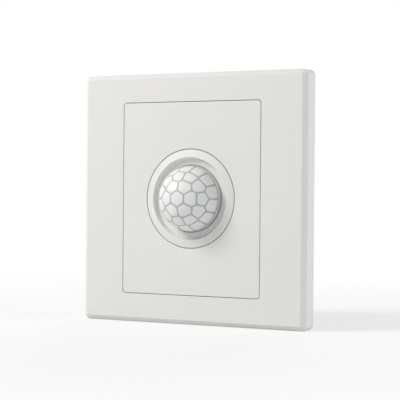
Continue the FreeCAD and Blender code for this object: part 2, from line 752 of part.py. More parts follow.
def indicator_lamp():
    """Round-topped indicator lamp."""
    base = rod(LAMP_BASE_R, -LAMP_BASE_DEPTH, 0, 0, -LAMP_OFFSET)
    shoulder = LAMP_R - LAMP_DEPTH
    stem = rod(LAMP_R, shoulder, 0, 0, -LAMP_OFFSET)
    tip = Part.makeSphere(LAMP_R, FreeCAD.Vector(0, shoulder, -LAMP_OFFSET))
    return fused([base, stem, tip])


def light_sensor():
    """Flat daylight sensor."""
    width = LIGHT_SENSOR_WIDTH
    body = slab(width, LIGHT_SENSOR_HEIGHT, -LIGHT_SENSOR_DEPTH, 0, 0, LAMP_OFFSET)
    lens = rod(LIGHT_SENSOR_HEIGHT / 3, -LIGHT_SENSOR_DEPTH - CAN_WINDOW_DEPTH, 0, 0, LAMP_OFFSET)
    return fused([body, lens])


def trimmer_places():
    """Places of the setting trimmers."""
    return [(x, -CONTROL_OFFSET) for x in spread(TRIMMER_COUNT, TRIMMER_PITCH)]


def trimmer_bodies():
    """Bodies of the three setting trimmers."""
    solids = []
    for x, z in trimmer_places():
        side = TRIMMER_SIDE
        body = rounded_slab(side, side, TRIMMER_CORNER_R, 0, -TRIMMER_DEPTH, x, z)
        bore_end = KNOB_SUNK - TRIMMER_DEPTH
        solids.append(body.cut(rod(KNOB_R + RUNNING_FIT, -TRIMMER_DEPTH, bore_end, x, z)))
    return Part.makeCompound(solids)


def trimmer_knob(index):
    """Turning knob of one trimmer with a driver slot and a pointer notch."""
    x, z = trimmer_places()[index]
    front = -TRIMMER_DEPTH - KNOB_PROUD
    body = rod(KNOB_R, front, KNOB_SUNK - TRIMMER_DEPTH, x, z)
    deep = front + KNOB_SLOT_DEPTH
    body = body.cut(slab(KNOB_SLOT_WIDTH, KNOB_SLOT_LENGTH, front, deep, x, z))
    notch = slab(KNOB_SLOT_WIDTH, KNOB_R, front, front + KNOB_SLOT_DEPTH / 2, x, z + KNOB_R)
    return body.cut(notch)


def mode_switch_body():
    """Body of the mode slide switch."""
    body = slab(SWITCH_WIDTH, SWITCH_HEIGHT, 0, -SWITCH_DEPTH, -SWITCH_OFFSET, CONTROL_OFFSET)
    slot_width = SLIDER_WIDTH + SLIDER_TRAVEL + 2 * FACE_GAP
    slot_height = SLIDER_HEIGHT + 2 * FACE_GAP
    deep = SLIDER_SUNK - SWITCH_DEPTH
    slot = slab(slot_width, slot_height, -SWITCH_DEPTH, deep, -SWITCH_OFFSET, CONTROL_OFFSET)
    return body.cut(slot)


def mode_switch_slider():
    """Slider of the mode switch, drawn at the left end of its travel."""
    x = -SWITCH_OFFSET - SLIDER_TRAVEL / 2
    front = -SWITCH_DEPTH - SLIDER_PROUD
    body = slab(SLIDER_WIDTH, SLIDER_HEIGHT, front, SLIDER_SUNK - SWITCH_DEPTH, x, CONTROL_OFFSET)
    for side in (-1, 1):
        groove_x = x + side * SLIDER_WIDTH / 4
        depth = front + FACE_GAP * 2
        body = body.cut(slab(FACE_GAP * 3, SLIDER_HEIGHT, front, depth, groove_x, CONTROL_OFFSET))
    return body


def test_button_body():
    """Body of the test push button."""
    x = SWITCH_OFFSET
    body = slab(BUTTON_SIDE, BUTTON_SIDE, 0, -BUTTON_DEPTH, x, CONTROL_OFFSET)
    deep = BUTTON_SUNK + BUTTON_TRAVEL + FACE_GAP - BUTTON_DEPTH
    return body.cut(rod(BUTTON_R + RUNNING_FIT, -BUTTON_DEPTH, deep, x, CONTROL_OFFSET))


def test_button_plunger():
    """Plunger of the test push button."""
    front = -BUTTON_DEPTH - BUTTON_PROUD
    return rod(BUTTON_R, front, BUTTON_SUNK - BUTTON_DEPTH, SWITCH_OFFSET, CONTROL_OFFSET)


def controller_chip():
    """Controller chip on the sensor board."""
    return slab(CHIP_WIDTH, CHIP_HEIGHT, 0, -CHIP_DEPTH, -CHIP_OFFSET, 0)


def chip_resistors():
    """Column of chip resistors."""
    solids = []
    for z in spread(RESISTOR_COUNT, RESISTOR_PITCH):
        solids.append(slab(RESISTOR_WIDTH, RESISTOR_HEIGHT, 0, -RESISTOR_DEPTH, CHIP_OFFSET, z))
    return Part.makeCompound(solids)


def chip_capacitors():
    """Column of chip capacitors."""
    solids = []
    x = CHIP_OFFSET - CAPACITOR_SHIFT
    for z in spread(CAPACITOR_COUNT, CAPACITOR_PITCH):
        solids.append(slab(RESISTOR_WIDTH, RESISTOR_HEIGHT, 0, -CAPACITOR_DEPTH, x, z))
    return Part.makeCompound(solids)


def header_body():
    """Insulator of the header between the boards."""
    body = slab(HEADER_WIDTH, HEADER_HEIGHT, SENSOR_BACK_Y, RELAY_FRONT_Y, HEADER_X, 0)
    for x, z in header_places():
        body = body.cut(slab(HEADER_PIN_SIDE, HEADER_PIN_SIDE, SENSOR_BACK_Y, RELAY_FRONT_Y, x, z))
    return body


def header_pins():
    """Square pins of the header."""
    solids = []
    for x, z in header_places():
        front = -HEADER_TAIL
        back = RELAY_BACK_Y + HEADER_TAIL
        solids.append(slab(HEADER_PIN_SIDE, HEADER_PIN_SIDE, front, back, x, z))
    return Part.makeCompound(solids)


def terminal_block():
    """Terminal body with one chamber and one screw bore for each pole."""
    middle = (BLOCK_LOW_Z + BLOCK_HIGH_Z) / 2
    body = slab(BLOCK_WIDTH, BLOCK_LENGTH, RELAY_BACK_Y, BLOCK_TOP_Y, 0, middle)
    length = BLOCK_LENGTH - BLOCK_BACK
    chamber_z = BLOCK_LOW_Z + length / 2
    for x in spread(POLES, POLE_PITCH):
        body = body.cut(slab(CHAMBER_WIDTH, length, CHAMBER_LOW_Y, CHAMBER_TOP_Y, x, chamber_z))
        neck = rod(CLAMP_SCREW_R + PIN_GAP, CHAMBER_TOP_Y, HEAD_SEAT_Y, x, CAGE_Z)
        body = body.cut(neck)
        body = body.cut(rod(CLAMP_HEAD_R + PIN_GAP, HEAD_SEAT_Y, BLOCK_TOP_Y, x, CAGE_Z))
        width = BAR_WIDTH + 2 * FACE_GAP
        thick = BAR_THICK + 2 * FACE_GAP
        body = body.cut(slab(width, thick, RELAY_BACK_Y, CHAMBER_LOW_Y, x, LEG_Z))
    return body


def terminal_cage(index):
    """Rising cage of one terminal, drawn open."""
    x = spread(POLES, POLE_PITCH)[index]
    top = CAGE_ROOF_Y + CAGE_TOP
    body = slab(CAGE_WIDTH, CAGE_LENGTH, CAGE_LOW_Y, top, x, CAGE_Z)
    inner = CAGE_WIDTH - 2 * CAGE_SIDE
    body = body.cut(slab(inner, CAGE_LENGTH, CAGE_FLOOR_Y, CAGE_ROOF_Y, x, CAGE_Z))
    return body.cut(rod(CLAMP_SCREW_R + RUNNING_FIT, CAGE_ROOF_Y, top, x, CAGE_Z))


def terminal_screw(index):
    """Clamping screw of one terminal."""
    x = spread(POLES, POLE_PITCH)[index]
    back = HEAD_SEAT_Y + CLAMP_HEAD_DEPTH
    shaft = rod(CLAMP_SCREW_R, BAR_TOP_Y + FACE_GAP, HEAD_SEAT_Y, x, CAGE_Z)
    head = rod(CLAMP_HEAD_R, HEAD_SEAT_Y, back, x, CAGE_Z)
    whole = shaft.fuse(head).removeSplitter()
    reach = CLAMP_HEAD_R + FACE_GAP
    slot = slab(DRIVE_WIDTH, 2 * reach, back - DRIVE_DEPTH, back, x, CAGE_Z)
    return whole.cut(slot)


def terminal_bar(x):
    """Fixed contact bar through a cage with its leg through the board."""
    low_z = BLOCK_LOW_Z + BAR_INSET
    high_z = LEG_Z + BAR_THICK / 2
    bar = slab(BAR_WIDTH, high_z - low_z, BAR_LOW_Y, BAR_TOP_Y, x, (low_z + high_z) / 2)
    leg = slab(BAR_WIDTH, BAR_THICK, RELAY_FRONT_Y - LEG_TAIL, BAR_TOP_Y, x, LEG_Z)
    return fused([bar, leg])


def terminal_bars():
    """Contact bars of all poles."""
    return Part.makeCompound([terminal_bar(x) for x in spread(POLES, POLE_PITCH)])


def relay_base():
    """Base of the relay inside its cover."""
    width = RELAY_WIDTH - 2 * RELAY_WALL - 2 * FACE_GAP
    height = RELAY_HEIGHT - 2 * RELAY_WALL - 2 * FACE_GAP
    return slab(width, height, RELAY_BACK_Y, RELAY_FLOOR_Y, RELAY_X, RELAY_Z)


def relay_cover():
    """Dust cover of the relay."""
    top = RELAY_TOP_Y
    corner = RELAY_WALL
    body = rounded_slab(RELAY_WIDTH, RELAY_HEIGHT, corner, RELAY_BACK_Y, top, RELAY_X, RELAY_Z)
    width = RELAY_WIDTH - 2 * RELAY_WALL
    height = RELAY_HEIGHT - 2 * RELAY_WALL
    return body.cut(slab(width, height, RELAY_BACK_Y, top - RELAY_WALL, RELAY_X, RELAY_Z))


def relay_yoke():
    """Angled iron yoke."""
    left = COIL_X - BOBBIN_R
    right = HINGE_X + YOKE_THICK / 2
    foot_x = (left + right) / 2
    foot_top = RELAY_FLOOR_Y + YOKE_THICK
    foot = slab(right - left, YOKE_WIDTH, RELAY_FLOOR_Y, foot_top, foot_x, RELAY_Z)
    top = ARMATURE_Y - HINGE_GAP
    upright = slab(YOKE_THICK, YOKE_WIDTH, RELAY_FLOOR_Y, top, HINGE_X, RELAY_Z)
    return fused([foot, upright])


def relay_core():
    """Iron core inside the coil."""
    return rod(CORE_R, RELAY_FLOOR_Y + YOKE_THICK, POLE_Y, COIL_X, RELAY_Z)


def relay_bobbin():
    """Bobbin with two flanges round the core."""
    low = RELAY_FLOOR_Y + YOKE_THICK
    high = POLE_Y - FACE_GAP
    bore = CORE_R + RUNNING_FIT
    barrel = tube(bore + BOBBIN_WALL, bore, low, high, COIL_X, RELAY_Z)
    first = tube(BOBBIN_R, bore, low, low + BOBBIN_FLANGE, COIL_X, RELAY_Z)
    second = tube(BOBBIN_R, bore, high - BOBBIN_FLANGE, high, COIL_X, RELAY_Z)
    return fused([barrel, first, second])


def relay_coil():
    """Copper winding on the bobbin."""
    low = RELAY_FLOOR_Y + YOKE_THICK + BOBBIN_FLANGE
    high = POLE_Y - FACE_GAP - BOBBIN_FLANGE
    bore = CORE_R + 2 * RUNNING_FIT + BOBBIN_WALL
    return tube(COIL_R, bore, low, high, COIL_X, RELAY_Z)


def relay_armature():
    """Flat armature on the yoke edge, drawn released."""
    right = BLADE_X
    left = right - ARMATURE_REACH
    top = ARMATURE_Y + ARMATURE_THICK
    return slab(ARMATURE_REACH, YOKE_WIDTH, ARMATURE_Y, top, (left + right) / 2, RELAY_Z)


def relay_blade():
    """Contact blade at the armature end with its moving contact."""
    top = ARMATURE_Y + ARMATURE_THICK
    x = BLADE_X + BLADE_THICK / 2
    blade = slab(BLADE_THICK, BLADE_WIDTH, BLADE_TIP_Y, top, x, RELAY_Z)
    start = FreeCAD.Vector(BLADE_X + BLADE_THICK, CONTACT_Y, RELAY_Z)
    button = Part.makeCylinder(CONTACT_R, CONTACT_DEPTH, start, FreeCAD.Vector(1, 0, 0))
    return fused([blade, button])


def fixed_contact(x_face, direction):
    """Fixed contact strip with its button facing the blade."""
    x_strip = x_face + direction * (CONTACT_DEPTH + STRIP_THICK / 2)
    top = CONTACT_Y + CONTACT_R + FACE_GAP
    strip = slab(STRIP_THICK, STRIP_WIDTH, RELAY_FLOOR_Y, top, x_strip, RELAY_Z)
    start = FreeCAD.Vector(x_face, CONTACT_Y, RELAY_Z)
    button = Part.makeCylinder(CONTACT_R, CONTACT_DEPTH, start, FreeCAD.Vector(direction, 0, 0))
    return fused([strip, button])


def relay_fixed_contact():
    """Normally open contact beside the blade."""
    x_face = BLADE_X + BLADE_THICK + CONTACT_DEPTH + CONTACT_TRAVEL
    return fixed_contact(x_face, 1)


def relay_pins():
    """Relay pins through the board."""
    solids = []
    for x, z in relay_pin_places():
        solids.append(rod(RELAY_PIN_R, RELAY_FRONT_Y - LEG_TAIL, RELAY_BACK_Y, x, z))
    return Part.makeCompound(solids)


def film_capacitor():
    """Boxed film capacitor."""
    top = RELAY_BACK_Y + FILM_DEPTH
    return slab(FILM_WIDTH, FILM_HEIGHT, RELAY_BACK_Y, top, FILM_X, FILM_Z)


def transformer_core():
    """Closed ferrite core of the transformer."""
    top = RELAY_BACK_Y + CORE_DEPTH
    body = slab(CORE_WIDTH, CORE_HEIGHT, RELAY_BACK_Y, top, CORE_X, CORE_Z)
    inner_width = CORE_WIDTH - 2 * CORE_LIMB
    inner_low = RELAY_BACK_Y + CORE_LIMB
    window = slab(inner_width, CORE_HEIGHT, inner_low, top - CORE_LIMB, CORE_X, CORE_Z)
    middle = slab(CORE_LIMB, CORE_HEIGHT, RELAY_BACK_Y, top, CORE_X, CORE_Z)
    return body.cut(window).fuse(middle).removeSplitter()


def transformer_winding():
    """Winding round the middle limb of the core."""
    low = RELAY_BACK_Y + CORE_LIMB
    high = RELAY_BACK_Y + CORE_DEPTH - CORE_LIMB
    width = CORE_WIDTH - 2 * CORE_LIMB - 2 * WINDING_GAP
    height = CORE_HEIGHT + CORE_LIMB / 2
    body = slab(width, height, low, high, CORE_X, CORE_Z)
    hole = CORE_LIMB + 2 * FACE_GAP
    return body.cut(slab(hole, CORE_HEIGHT + 2 * FACE_GAP, low, high, CORE_X, CORE_Z))


def round_capacitor(radius, depth, x, z):
    """Upright round capacitor with the rolled groove near its foot."""
    top = RELAY_BACK_Y + depth
    body = rod(radius, RELAY_BACK_Y, top, x, z)
    low = RELAY_BACK_Y + CAN_GROOVE_HEIGHT
    groove = tube(2 * radius, radius - CAN_GROOVE_DEPTH, low, low + CAN_GROOVE_WIDTH, x, z)
    return body.cut(groove)


def bulk_capacitor():
    """Large round capacitor."""
    return round_capacitor(BULK_R, BULK_DEPTH, BULK_X, BULK_Z)


def smoothing_capacitor():
    """Small round capacitor."""
    return round_capacitor(SMOOTHING_R, SMOOTHING_DEPTH, SMOOTHING_X, SMOOTHING_Z)


def varistor():
    """Disc varistor standing on the board."""
    low = RELAY_BACK_Y + VARISTOR_LIFT
    start = FreeCAD.Vector(VARISTOR_X, low + VARISTOR_R, VARISTOR_Z - VARISTOR_THICK / 2)
    disc = Part.makeCylinder(VARISTOR_R, VARISTOR_THICK, start, FreeCAD.Vector(0, 0, 1))
    width = VARISTOR_R + LEAD_SPACING / 2
    foot_top = low + VARISTOR_R / 2
    foot = slab(width, VARISTOR_THICK, RELAY_BACK_Y, foot_top, VARISTOR_X, VARISTOR_Z)
    return fused([disc, foot])


def fuse_resistor():
    """Fusible resistor lying on the board."""
    start = FreeCAD.Vector(FUSE_X - FUSE_LENGTH / 2, RELAY_BACK_Y + FUSE_R, FUSE_Z)
    return Part.makeCylinder(FUSE_R, FUSE_LENGTH, start, FreeCAD.Vector(1, 0, 0))


def bridge_rectifier():
    """Bridge rectifier block."""
    top = RELAY_BACK_Y + BRIDGE_DEPTH
    return slab(BRIDGE_WIDTH, BRIDGE_HEIGHT, RELAY_BACK_Y, top, BRIDGE_X, BRIDGE_Z)


def supply_leads():
    """Wire leads of the power supply parts."""
    tail = RELAY_FRONT_Y - LEAD_TAIL
    return Part.makeCompound([rod(LEAD_R, tail, RELAY_BACK_Y, x, z) for x, z in lead_places()])


def all_parts():
    """Every named piece with its shape."""
    makers = [
        outer_frame, centre_cover, lens_bezel, dome_lens, lens_retainer,
        support_plate, rear_housing, rating_label, sensor_board, relay_board,
        board_spacers, housing_screws, sensor_socket, sensor_can, sensor_window, sensor_pins,
        indicator_lamp, light_sensor, trimmer_bodies, mode_switch_body,
        mode_switch_slider, test_button_body, test_button_plunger,
        controller_chip, chip_resistors, chip_capacitors, header_body,
        header_pins, terminal_block, terminal_bars, relay_base, relay_cover,
        relay_yoke, relay_core, relay_bobbin, relay_coil, relay_armature,
        relay_blade, relay_fixed_contact, relay_pins, film_capacitor,
        transformer_core, transformer_winding, bulk_capacitor,
        smoothing_capacitor, varistor, fuse_resistor, bridge_rectifier,
        supply_leads,
    ]
    parts = {maker.__name__: maker() for maker in makers}
    for index, name in enumerate(("time_knob", "light_level_knob", "range_knob")):
        parts[name] = trimmer_knob(index)
    for index in range(POLES):
        parts["terminal_cage_" + str(index + 1)] = terminal_cage(index)
        parts["terminal_screw_" + str(index + 1)] = terminal_screw(index)
    return parts


os.makedirs("parts", exist_ok=True)
for part_name, shape in all_parts().items():
    shape.exportStep("parts/" + part_name + ".step")
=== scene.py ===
import json
import logging
import math
from dataclasses import dataclass, field, replace
from enum import Enum
from typing import Iterator, Sequence

import bmesh
import bpy
import numpy as np
from mathutils import Matrix, Vector
from numpy.typing import NDArray


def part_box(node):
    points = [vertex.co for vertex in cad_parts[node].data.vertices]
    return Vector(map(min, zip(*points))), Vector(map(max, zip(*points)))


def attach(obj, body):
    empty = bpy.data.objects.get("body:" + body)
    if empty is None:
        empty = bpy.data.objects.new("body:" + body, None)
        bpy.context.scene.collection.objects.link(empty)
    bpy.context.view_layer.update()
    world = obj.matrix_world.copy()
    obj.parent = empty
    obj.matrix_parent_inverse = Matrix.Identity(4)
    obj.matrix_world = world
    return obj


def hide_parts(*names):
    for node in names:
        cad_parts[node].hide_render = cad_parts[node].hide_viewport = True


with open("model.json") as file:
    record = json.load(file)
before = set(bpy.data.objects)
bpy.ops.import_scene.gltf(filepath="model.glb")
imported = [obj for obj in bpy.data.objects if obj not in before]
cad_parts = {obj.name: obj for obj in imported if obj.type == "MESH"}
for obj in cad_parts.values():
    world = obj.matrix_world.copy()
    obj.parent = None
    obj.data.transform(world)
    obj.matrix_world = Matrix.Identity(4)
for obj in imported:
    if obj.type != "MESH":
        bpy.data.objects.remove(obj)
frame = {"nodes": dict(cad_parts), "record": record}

LOG = logging.getLogger("motion_sensor_relay")
MM = 0.001
FULL_TURN = 2 * math.pi
Array = NDArray[np.float64]
Indices = NDArray[np.int64]
Point = tuple[float, float, float]
Place = tuple[float, float]
Pair = tuple[float, float]
RoundRect = tuple[float, float, float]
Colour = tuple[float, float, float]
Socket = bpy.types.NodeSocket


class Texture(Enum):
    """How a surface is worked."""

    SATIN = "satin"
    GLOSS = "gloss"
    BRUSHED = "brushed"
    LAMINATE = "laminate"
    ZONED = "zoned"


@dataclass(frozen=True)
class Finish:
    """One finish of the object, as the values of its material. Lengths are in millimetres."""

    name: str
    colour: Colour
    second: Colour
    roughness: float
    texture: Texture = Texture.SATIN
    metallic: float = 0.0
    grain_size: float = 0.35
    grain_height: float = 0.004
    edge_radius: float = 0.12
    edge_light: float = 0.05
    dust: float = 0.03
    coat: float = 0.0
    subsurface: float = 0.0


class NodeSheet:
    """A small helper that adds and joins shader nodes in one tree."""

    rows = 7
    pitch = (40.0, 160.0)

    def __init__(self, tree: bpy.types.NodeTree) -> None:
        """Clears the tree.

        Args:
            tree: The node tree to fill.
        """
        self.tree = tree
        self.column = 0
        tree.nodes.clear()

    def add(self, kind: str, **settings: object) -> bpy.types.Node:
        """Adds one node, right of the last one.

        Args:
            kind: The node's type name without its ShaderNode prefix.
            **settings: Attributes of the node.

        Returns:
            The new node.
        """
        prefix = "" if kind.startswith("NodeGroup") else "ShaderNode"
        node = self.tree.nodes.new(prefix + kind)
        node.location = (self.column * self.pitch[0], -(self.column % self.rows) * self.pitch[1])
        self.column += 1
        for key, value in settings.items():
            setattr(node, key, value)
        return node

    def feed(self, value: object, target: Socket) -> None:
        """Joins an output to an input, or sets the input.

        Args:
            value: An output socket, a number or a colour.
            target: The input.
        """
        if isinstance(value, Socket):
            self.tree.links.new(value, target)
        elif isinstance(value, tuple):
            target.default_value = (*value, 1.0)
        else:
            target.default_value = float(value)

    def maths(self, operation: str, *operands: object, clamp: bool = False) -> Socket:
        """Adds a Math node.

        Args:
            operation: The Math node's operation.
            *operands: Sockets or numbers, as many as the operation has.
            clamp: Whether the result is held between 0 and 1.

        Returns:
            The value output.
        """
        node = self.add("Math", operation=operation, use_clamp=clamp)
        for operand, socket in zip(operands, node.inputs):
            self.feed(operand, socket)
        return node.outputs[0]

    def mix(self, factor: object, first: object, second: object) -> Socket:
        """Mixes two colours.

        Args:
            factor: Socket or number from 0 to 1.
            first: Socket or colour at factor 0.
            second: Socket or colour at factor 1.

        Returns:
            The colour output.
        """
        node = self.add("Mix", data_type="RGBA")
        for index, value in ((0, factor), (6, first), (7, second)):
            self.feed(value, node.inputs[index])
        return node.outputs[2]

    def noise(self, place: Socket, scale: object, detail: float) -> Socket:
        """Adds noise in three dimensions.

        Args:
            place: Where it is read.
            scale: Socket or number of its repeats for each metre.
            detail: Its octaves.

        Returns:
            The value output.
        """
        node = self.add("TexNoise", noise_dimensions="3D")
        for label, value in (("Vector", place), ("Scale", scale), ("Detail", detail)):
            self.feed(value, node.inputs[label])
        return node.outputs["Fac"]

    def place(self) -> Socket:
        """Gives the place on the object in metres."""
        return self.add("TexCoord").outputs["Object"]

    def seen(self) -> Socket:
        """Tells the rays by which a thing is seen from those that only bring light.

        Returns:
            One for a ray from the camera, off a shiny face or through glass, and otherwise zero.
        """
        path = self.add("LightPath").outputs
        direct = self.maths("MAXIMUM", path["Is Camera Ray"], path["Is Glossy Ray"])
        return self.maths("MAXIMUM", direct, path["Is Transmission Ray"])


@dataclass(frozen=True)
class EffectValues:
    """Fixed values of the shared effects. A scale is in repeats for each metre."""

    grain_detail: float = 3.0
    cloud_scale: float = 45.0
    cloud_detail: float = 4.0
    edge_samples: int = 6
    edge_gain: float = 3.0
    dust_scale: float = 900.0
    dust_detail: float = 6.0
    dust_gain: float = 3.0
    dust_least: float = 0.15
    drawn_stretch: float = 0.03
    drawn_detail: float = 4.0


class EffectShelf:
    """The shader node groups that several finishes share, each built once."""

    values = EffectValues()

    def __init__(self) -> None:
        """Builds the groups for grain, edge rounding with its painted edge highlight, dust, drawn metal, lens
        rings and board cloth.
        """
        self.grain = self._grain()
        self.edge = self._edge()
        self.dust = self._dust()
        self.brushed = self._brushed()
        self.rings = self._rings()
        self.weave = self._weave()

    @staticmethod
    def _group(name: str, given: str, **outputs: str) -> tuple[NodeSheet, Socket, bpy.types.Node]:
        """Starts a group that is given one number.

        Args:
            name: Name of the group.
            given: Label of its input.
            **outputs: Socket type of each output, by label.

        Returns:
            Its sheet, the socket of its input, and its output node.
        """
        tree = bpy.data.node_groups.new(name, "ShaderNodeTree")
        tree.interface.new_socket(given, in_out="INPUT", socket_type="NodeSocketFloat")
        for label, kind in outputs.items():
            tree.interface.new_socket(label, in_out="OUTPUT", socket_type="NodeSocket" + kind)
        sheet = NodeSheet(tree)
        return sheet, sheet.add("NodeGroupInput").outputs[given], sheet.add("NodeGroupOutput")

    def _grain(self) -> bpy.types.NodeTree:
        """Fine moulded grain: one noise as height, and a much larger one as a slow cloud.

        Returns:
            The group.
        """
        values = self.values
        sheet, size, made = self._group("moulded_grain", "Size", Height="Float", Cloud="Float")
        place, scale = sheet.place(), sheet.maths("DIVIDE", 1 / MM, size)
        sheet.feed(sheet.noise(place, scale, values.grain_detail), made.inputs["Height"])
        cloud = sheet.noise(place, values.cloud_scale, values.cloud_detail)
        sheet.feed(cloud, made.inputs["Cloud"])
        return sheet.tree

    def _edge(self) -> bpy.types.NodeTree:
        """Edge rounding and a painted edge highlight: the mask, which lightens the colour along edges, is one
        minus the dot product of the true and the rounded normal.

        Returns:
            The group.
        """
        sheet, radius, made = self._group("edge_rounding_painted_highlight", "Radius", Mask="Float", Normal="Vector")
        soft = sheet.add("Bevel", samples=self.values.edge_samples)
        sheet.feed(sheet.maths("MULTIPLY", radius, MM), soft.inputs["Radius"])
        dot = sheet.add("VectorMath", operation="DOT_PRODUCT")
        sheet.feed(soft.outputs["Normal"], dot.inputs[0])
        sheet.feed(sheet.add("NewGeometry").outputs["Normal"], dot.inputs[1])
        gap = sheet.maths("SUBTRACT", 1.0, dot.outputs["Value"])
        # Painted highlight: an edge mask that later lightens the colour along every edge.
        edge_highlight = sheet.maths("MULTIPLY", gap, self.values.edge_gain, clamp=True)
        sheet.feed(edge_highlight, made.inputs["Mask"])
        sheet.feed(soft.outputs["Normal"], made.inputs["Normal"])
        return sheet.tree

    def _dust(self) -> bpy.types.NodeTree:
        """Dust on faces that look up: the square of the normal's height times a broken noise.

        Returns:
            The group.
        """
        values = self.values
        sheet, amount, made = self._group("settled_dust", "Amount", Mask="Float")
        split = sheet.add("SeparateXYZ")
        sheet.feed(sheet.add("NewGeometry").outputs["Normal"], split.inputs[0])
        up = sheet.maths("POWER", sheet.maths("MAXIMUM", split.outputs["Z"], 0.0), 2.0)
        broken = sheet.noise(sheet.place(), values.dust_scale, values.dust_detail)
        patchy = sheet.maths("MULTIPLY", up, broken)
        base = sheet.maths("MULTIPLY_ADD", patchy, values.dust_gain, values.dust_least)
        sheet.feed(sheet.maths("MULTIPLY", base, amount, clamp=True), made.inputs["Mask"])
        return sheet.tree

    def _brushed(self) -> bpy.types.NodeTree:
        """Drawn metal: noise stretched about thirty times along X.

        Returns:
            The group.
        """
        sheet, size, made = self._group("drawn_metal", "Size", Height="Float")
        stretch = sheet.add("Mapping")
        stretch.inputs["Scale"].default_value = (self.values.drawn_stretch, 1.0, 1.0)
        sheet.feed(sheet.place(), stretch.inputs["Vector"])
        scale = sheet.maths("DIVIDE", 1 / MM, size)
        lines = sheet.noise(stretch.outputs["Vector"], scale, self.values.drawn_detail)
        sheet.feed(lines, made.inputs["Height"])
        return sheet.tree

    def _rings(self) -> bpy.types.NodeTree:
        """Fine circular lens grooves: a saw wave of the distance from each zone's middle, and the border
        share that carries the painted groove shade.

        Returns:
            The group.
        """
        sheet, pitch, made = self._group("zone_rings", "Pitch", Height="Float", Border="Float")
        radius, border = (sheet.add("Attribute", attribute_name=label).outputs["Fac"]
                          for label in ("zone_radius", "zone_border"))
        saw = sheet.maths("FRACT", sheet.maths("DIVIDE", radius, pitch))
        flat = sheet.maths("SUBTRACT", 1.0, border, clamp=True)
        sheet.feed(sheet.maths("MULTIPLY", saw, flat), made.inputs["Height"])
        sheet.feed(border, made.inputs["Border"])
        return sheet.tree

    def _weave(self) -> bpy.types.NodeTree:
        """Glass cloth under the solder mask: the product of two sine waves across X and Z.

        Returns:
            The group.
        """
        sheet, pitch, made = self._group("glass_cloth", "Pitch", Mask="Float")
        split = sheet.add("SeparateXYZ")
        sheet.feed(sheet.place(), split.inputs[0])
        scale = sheet.maths("DIVIDE", FULL_TURN / MM, pitch)
        waves = [sheet.maths("SINE", sheet.maths("MULTIPLY", split.outputs[axis], scale)) for axis in "XZ"]
        product = sheet.maths("MULTIPLY", *waves)
        sheet.feed(sheet.maths("MULTIPLY_ADD", product, 0.5, 0.5), made.inputs["Mask"])
        return sheet.tree


@dataclass(frozen=True)
class PaintValues:
    """Values that all finishes share. Lengths are in millimetres."""

    cloud_gain: float = 1.6
    cloud_shift: float = -0.3
    rough_swing: float = 0.10
    # Gain and lift of the painted edge highlight colour.
    worn_gain: float = 1.25
    worn_lift: float = 0.04
    dust_colour: Colour = (0.62, 0.60, 0.56)
    cloth_pitch: float = 0.5
    cloth_gain: float = 1.25
    cloth_height: float = 0.5
    ring_pitch: float = 0.34
    ring_height: float = 5.0
    # Painted shade: a dark grey colour laid along the lens zone borders, where the grooves lie.
    border_colour: Colour = (0.36, 0.37, 0.37)
    bump: float = 0.5
    gloss_bump: float = 0.2
    coat_roughness: float = 0.1
    subsurface_scale: float = 1.2


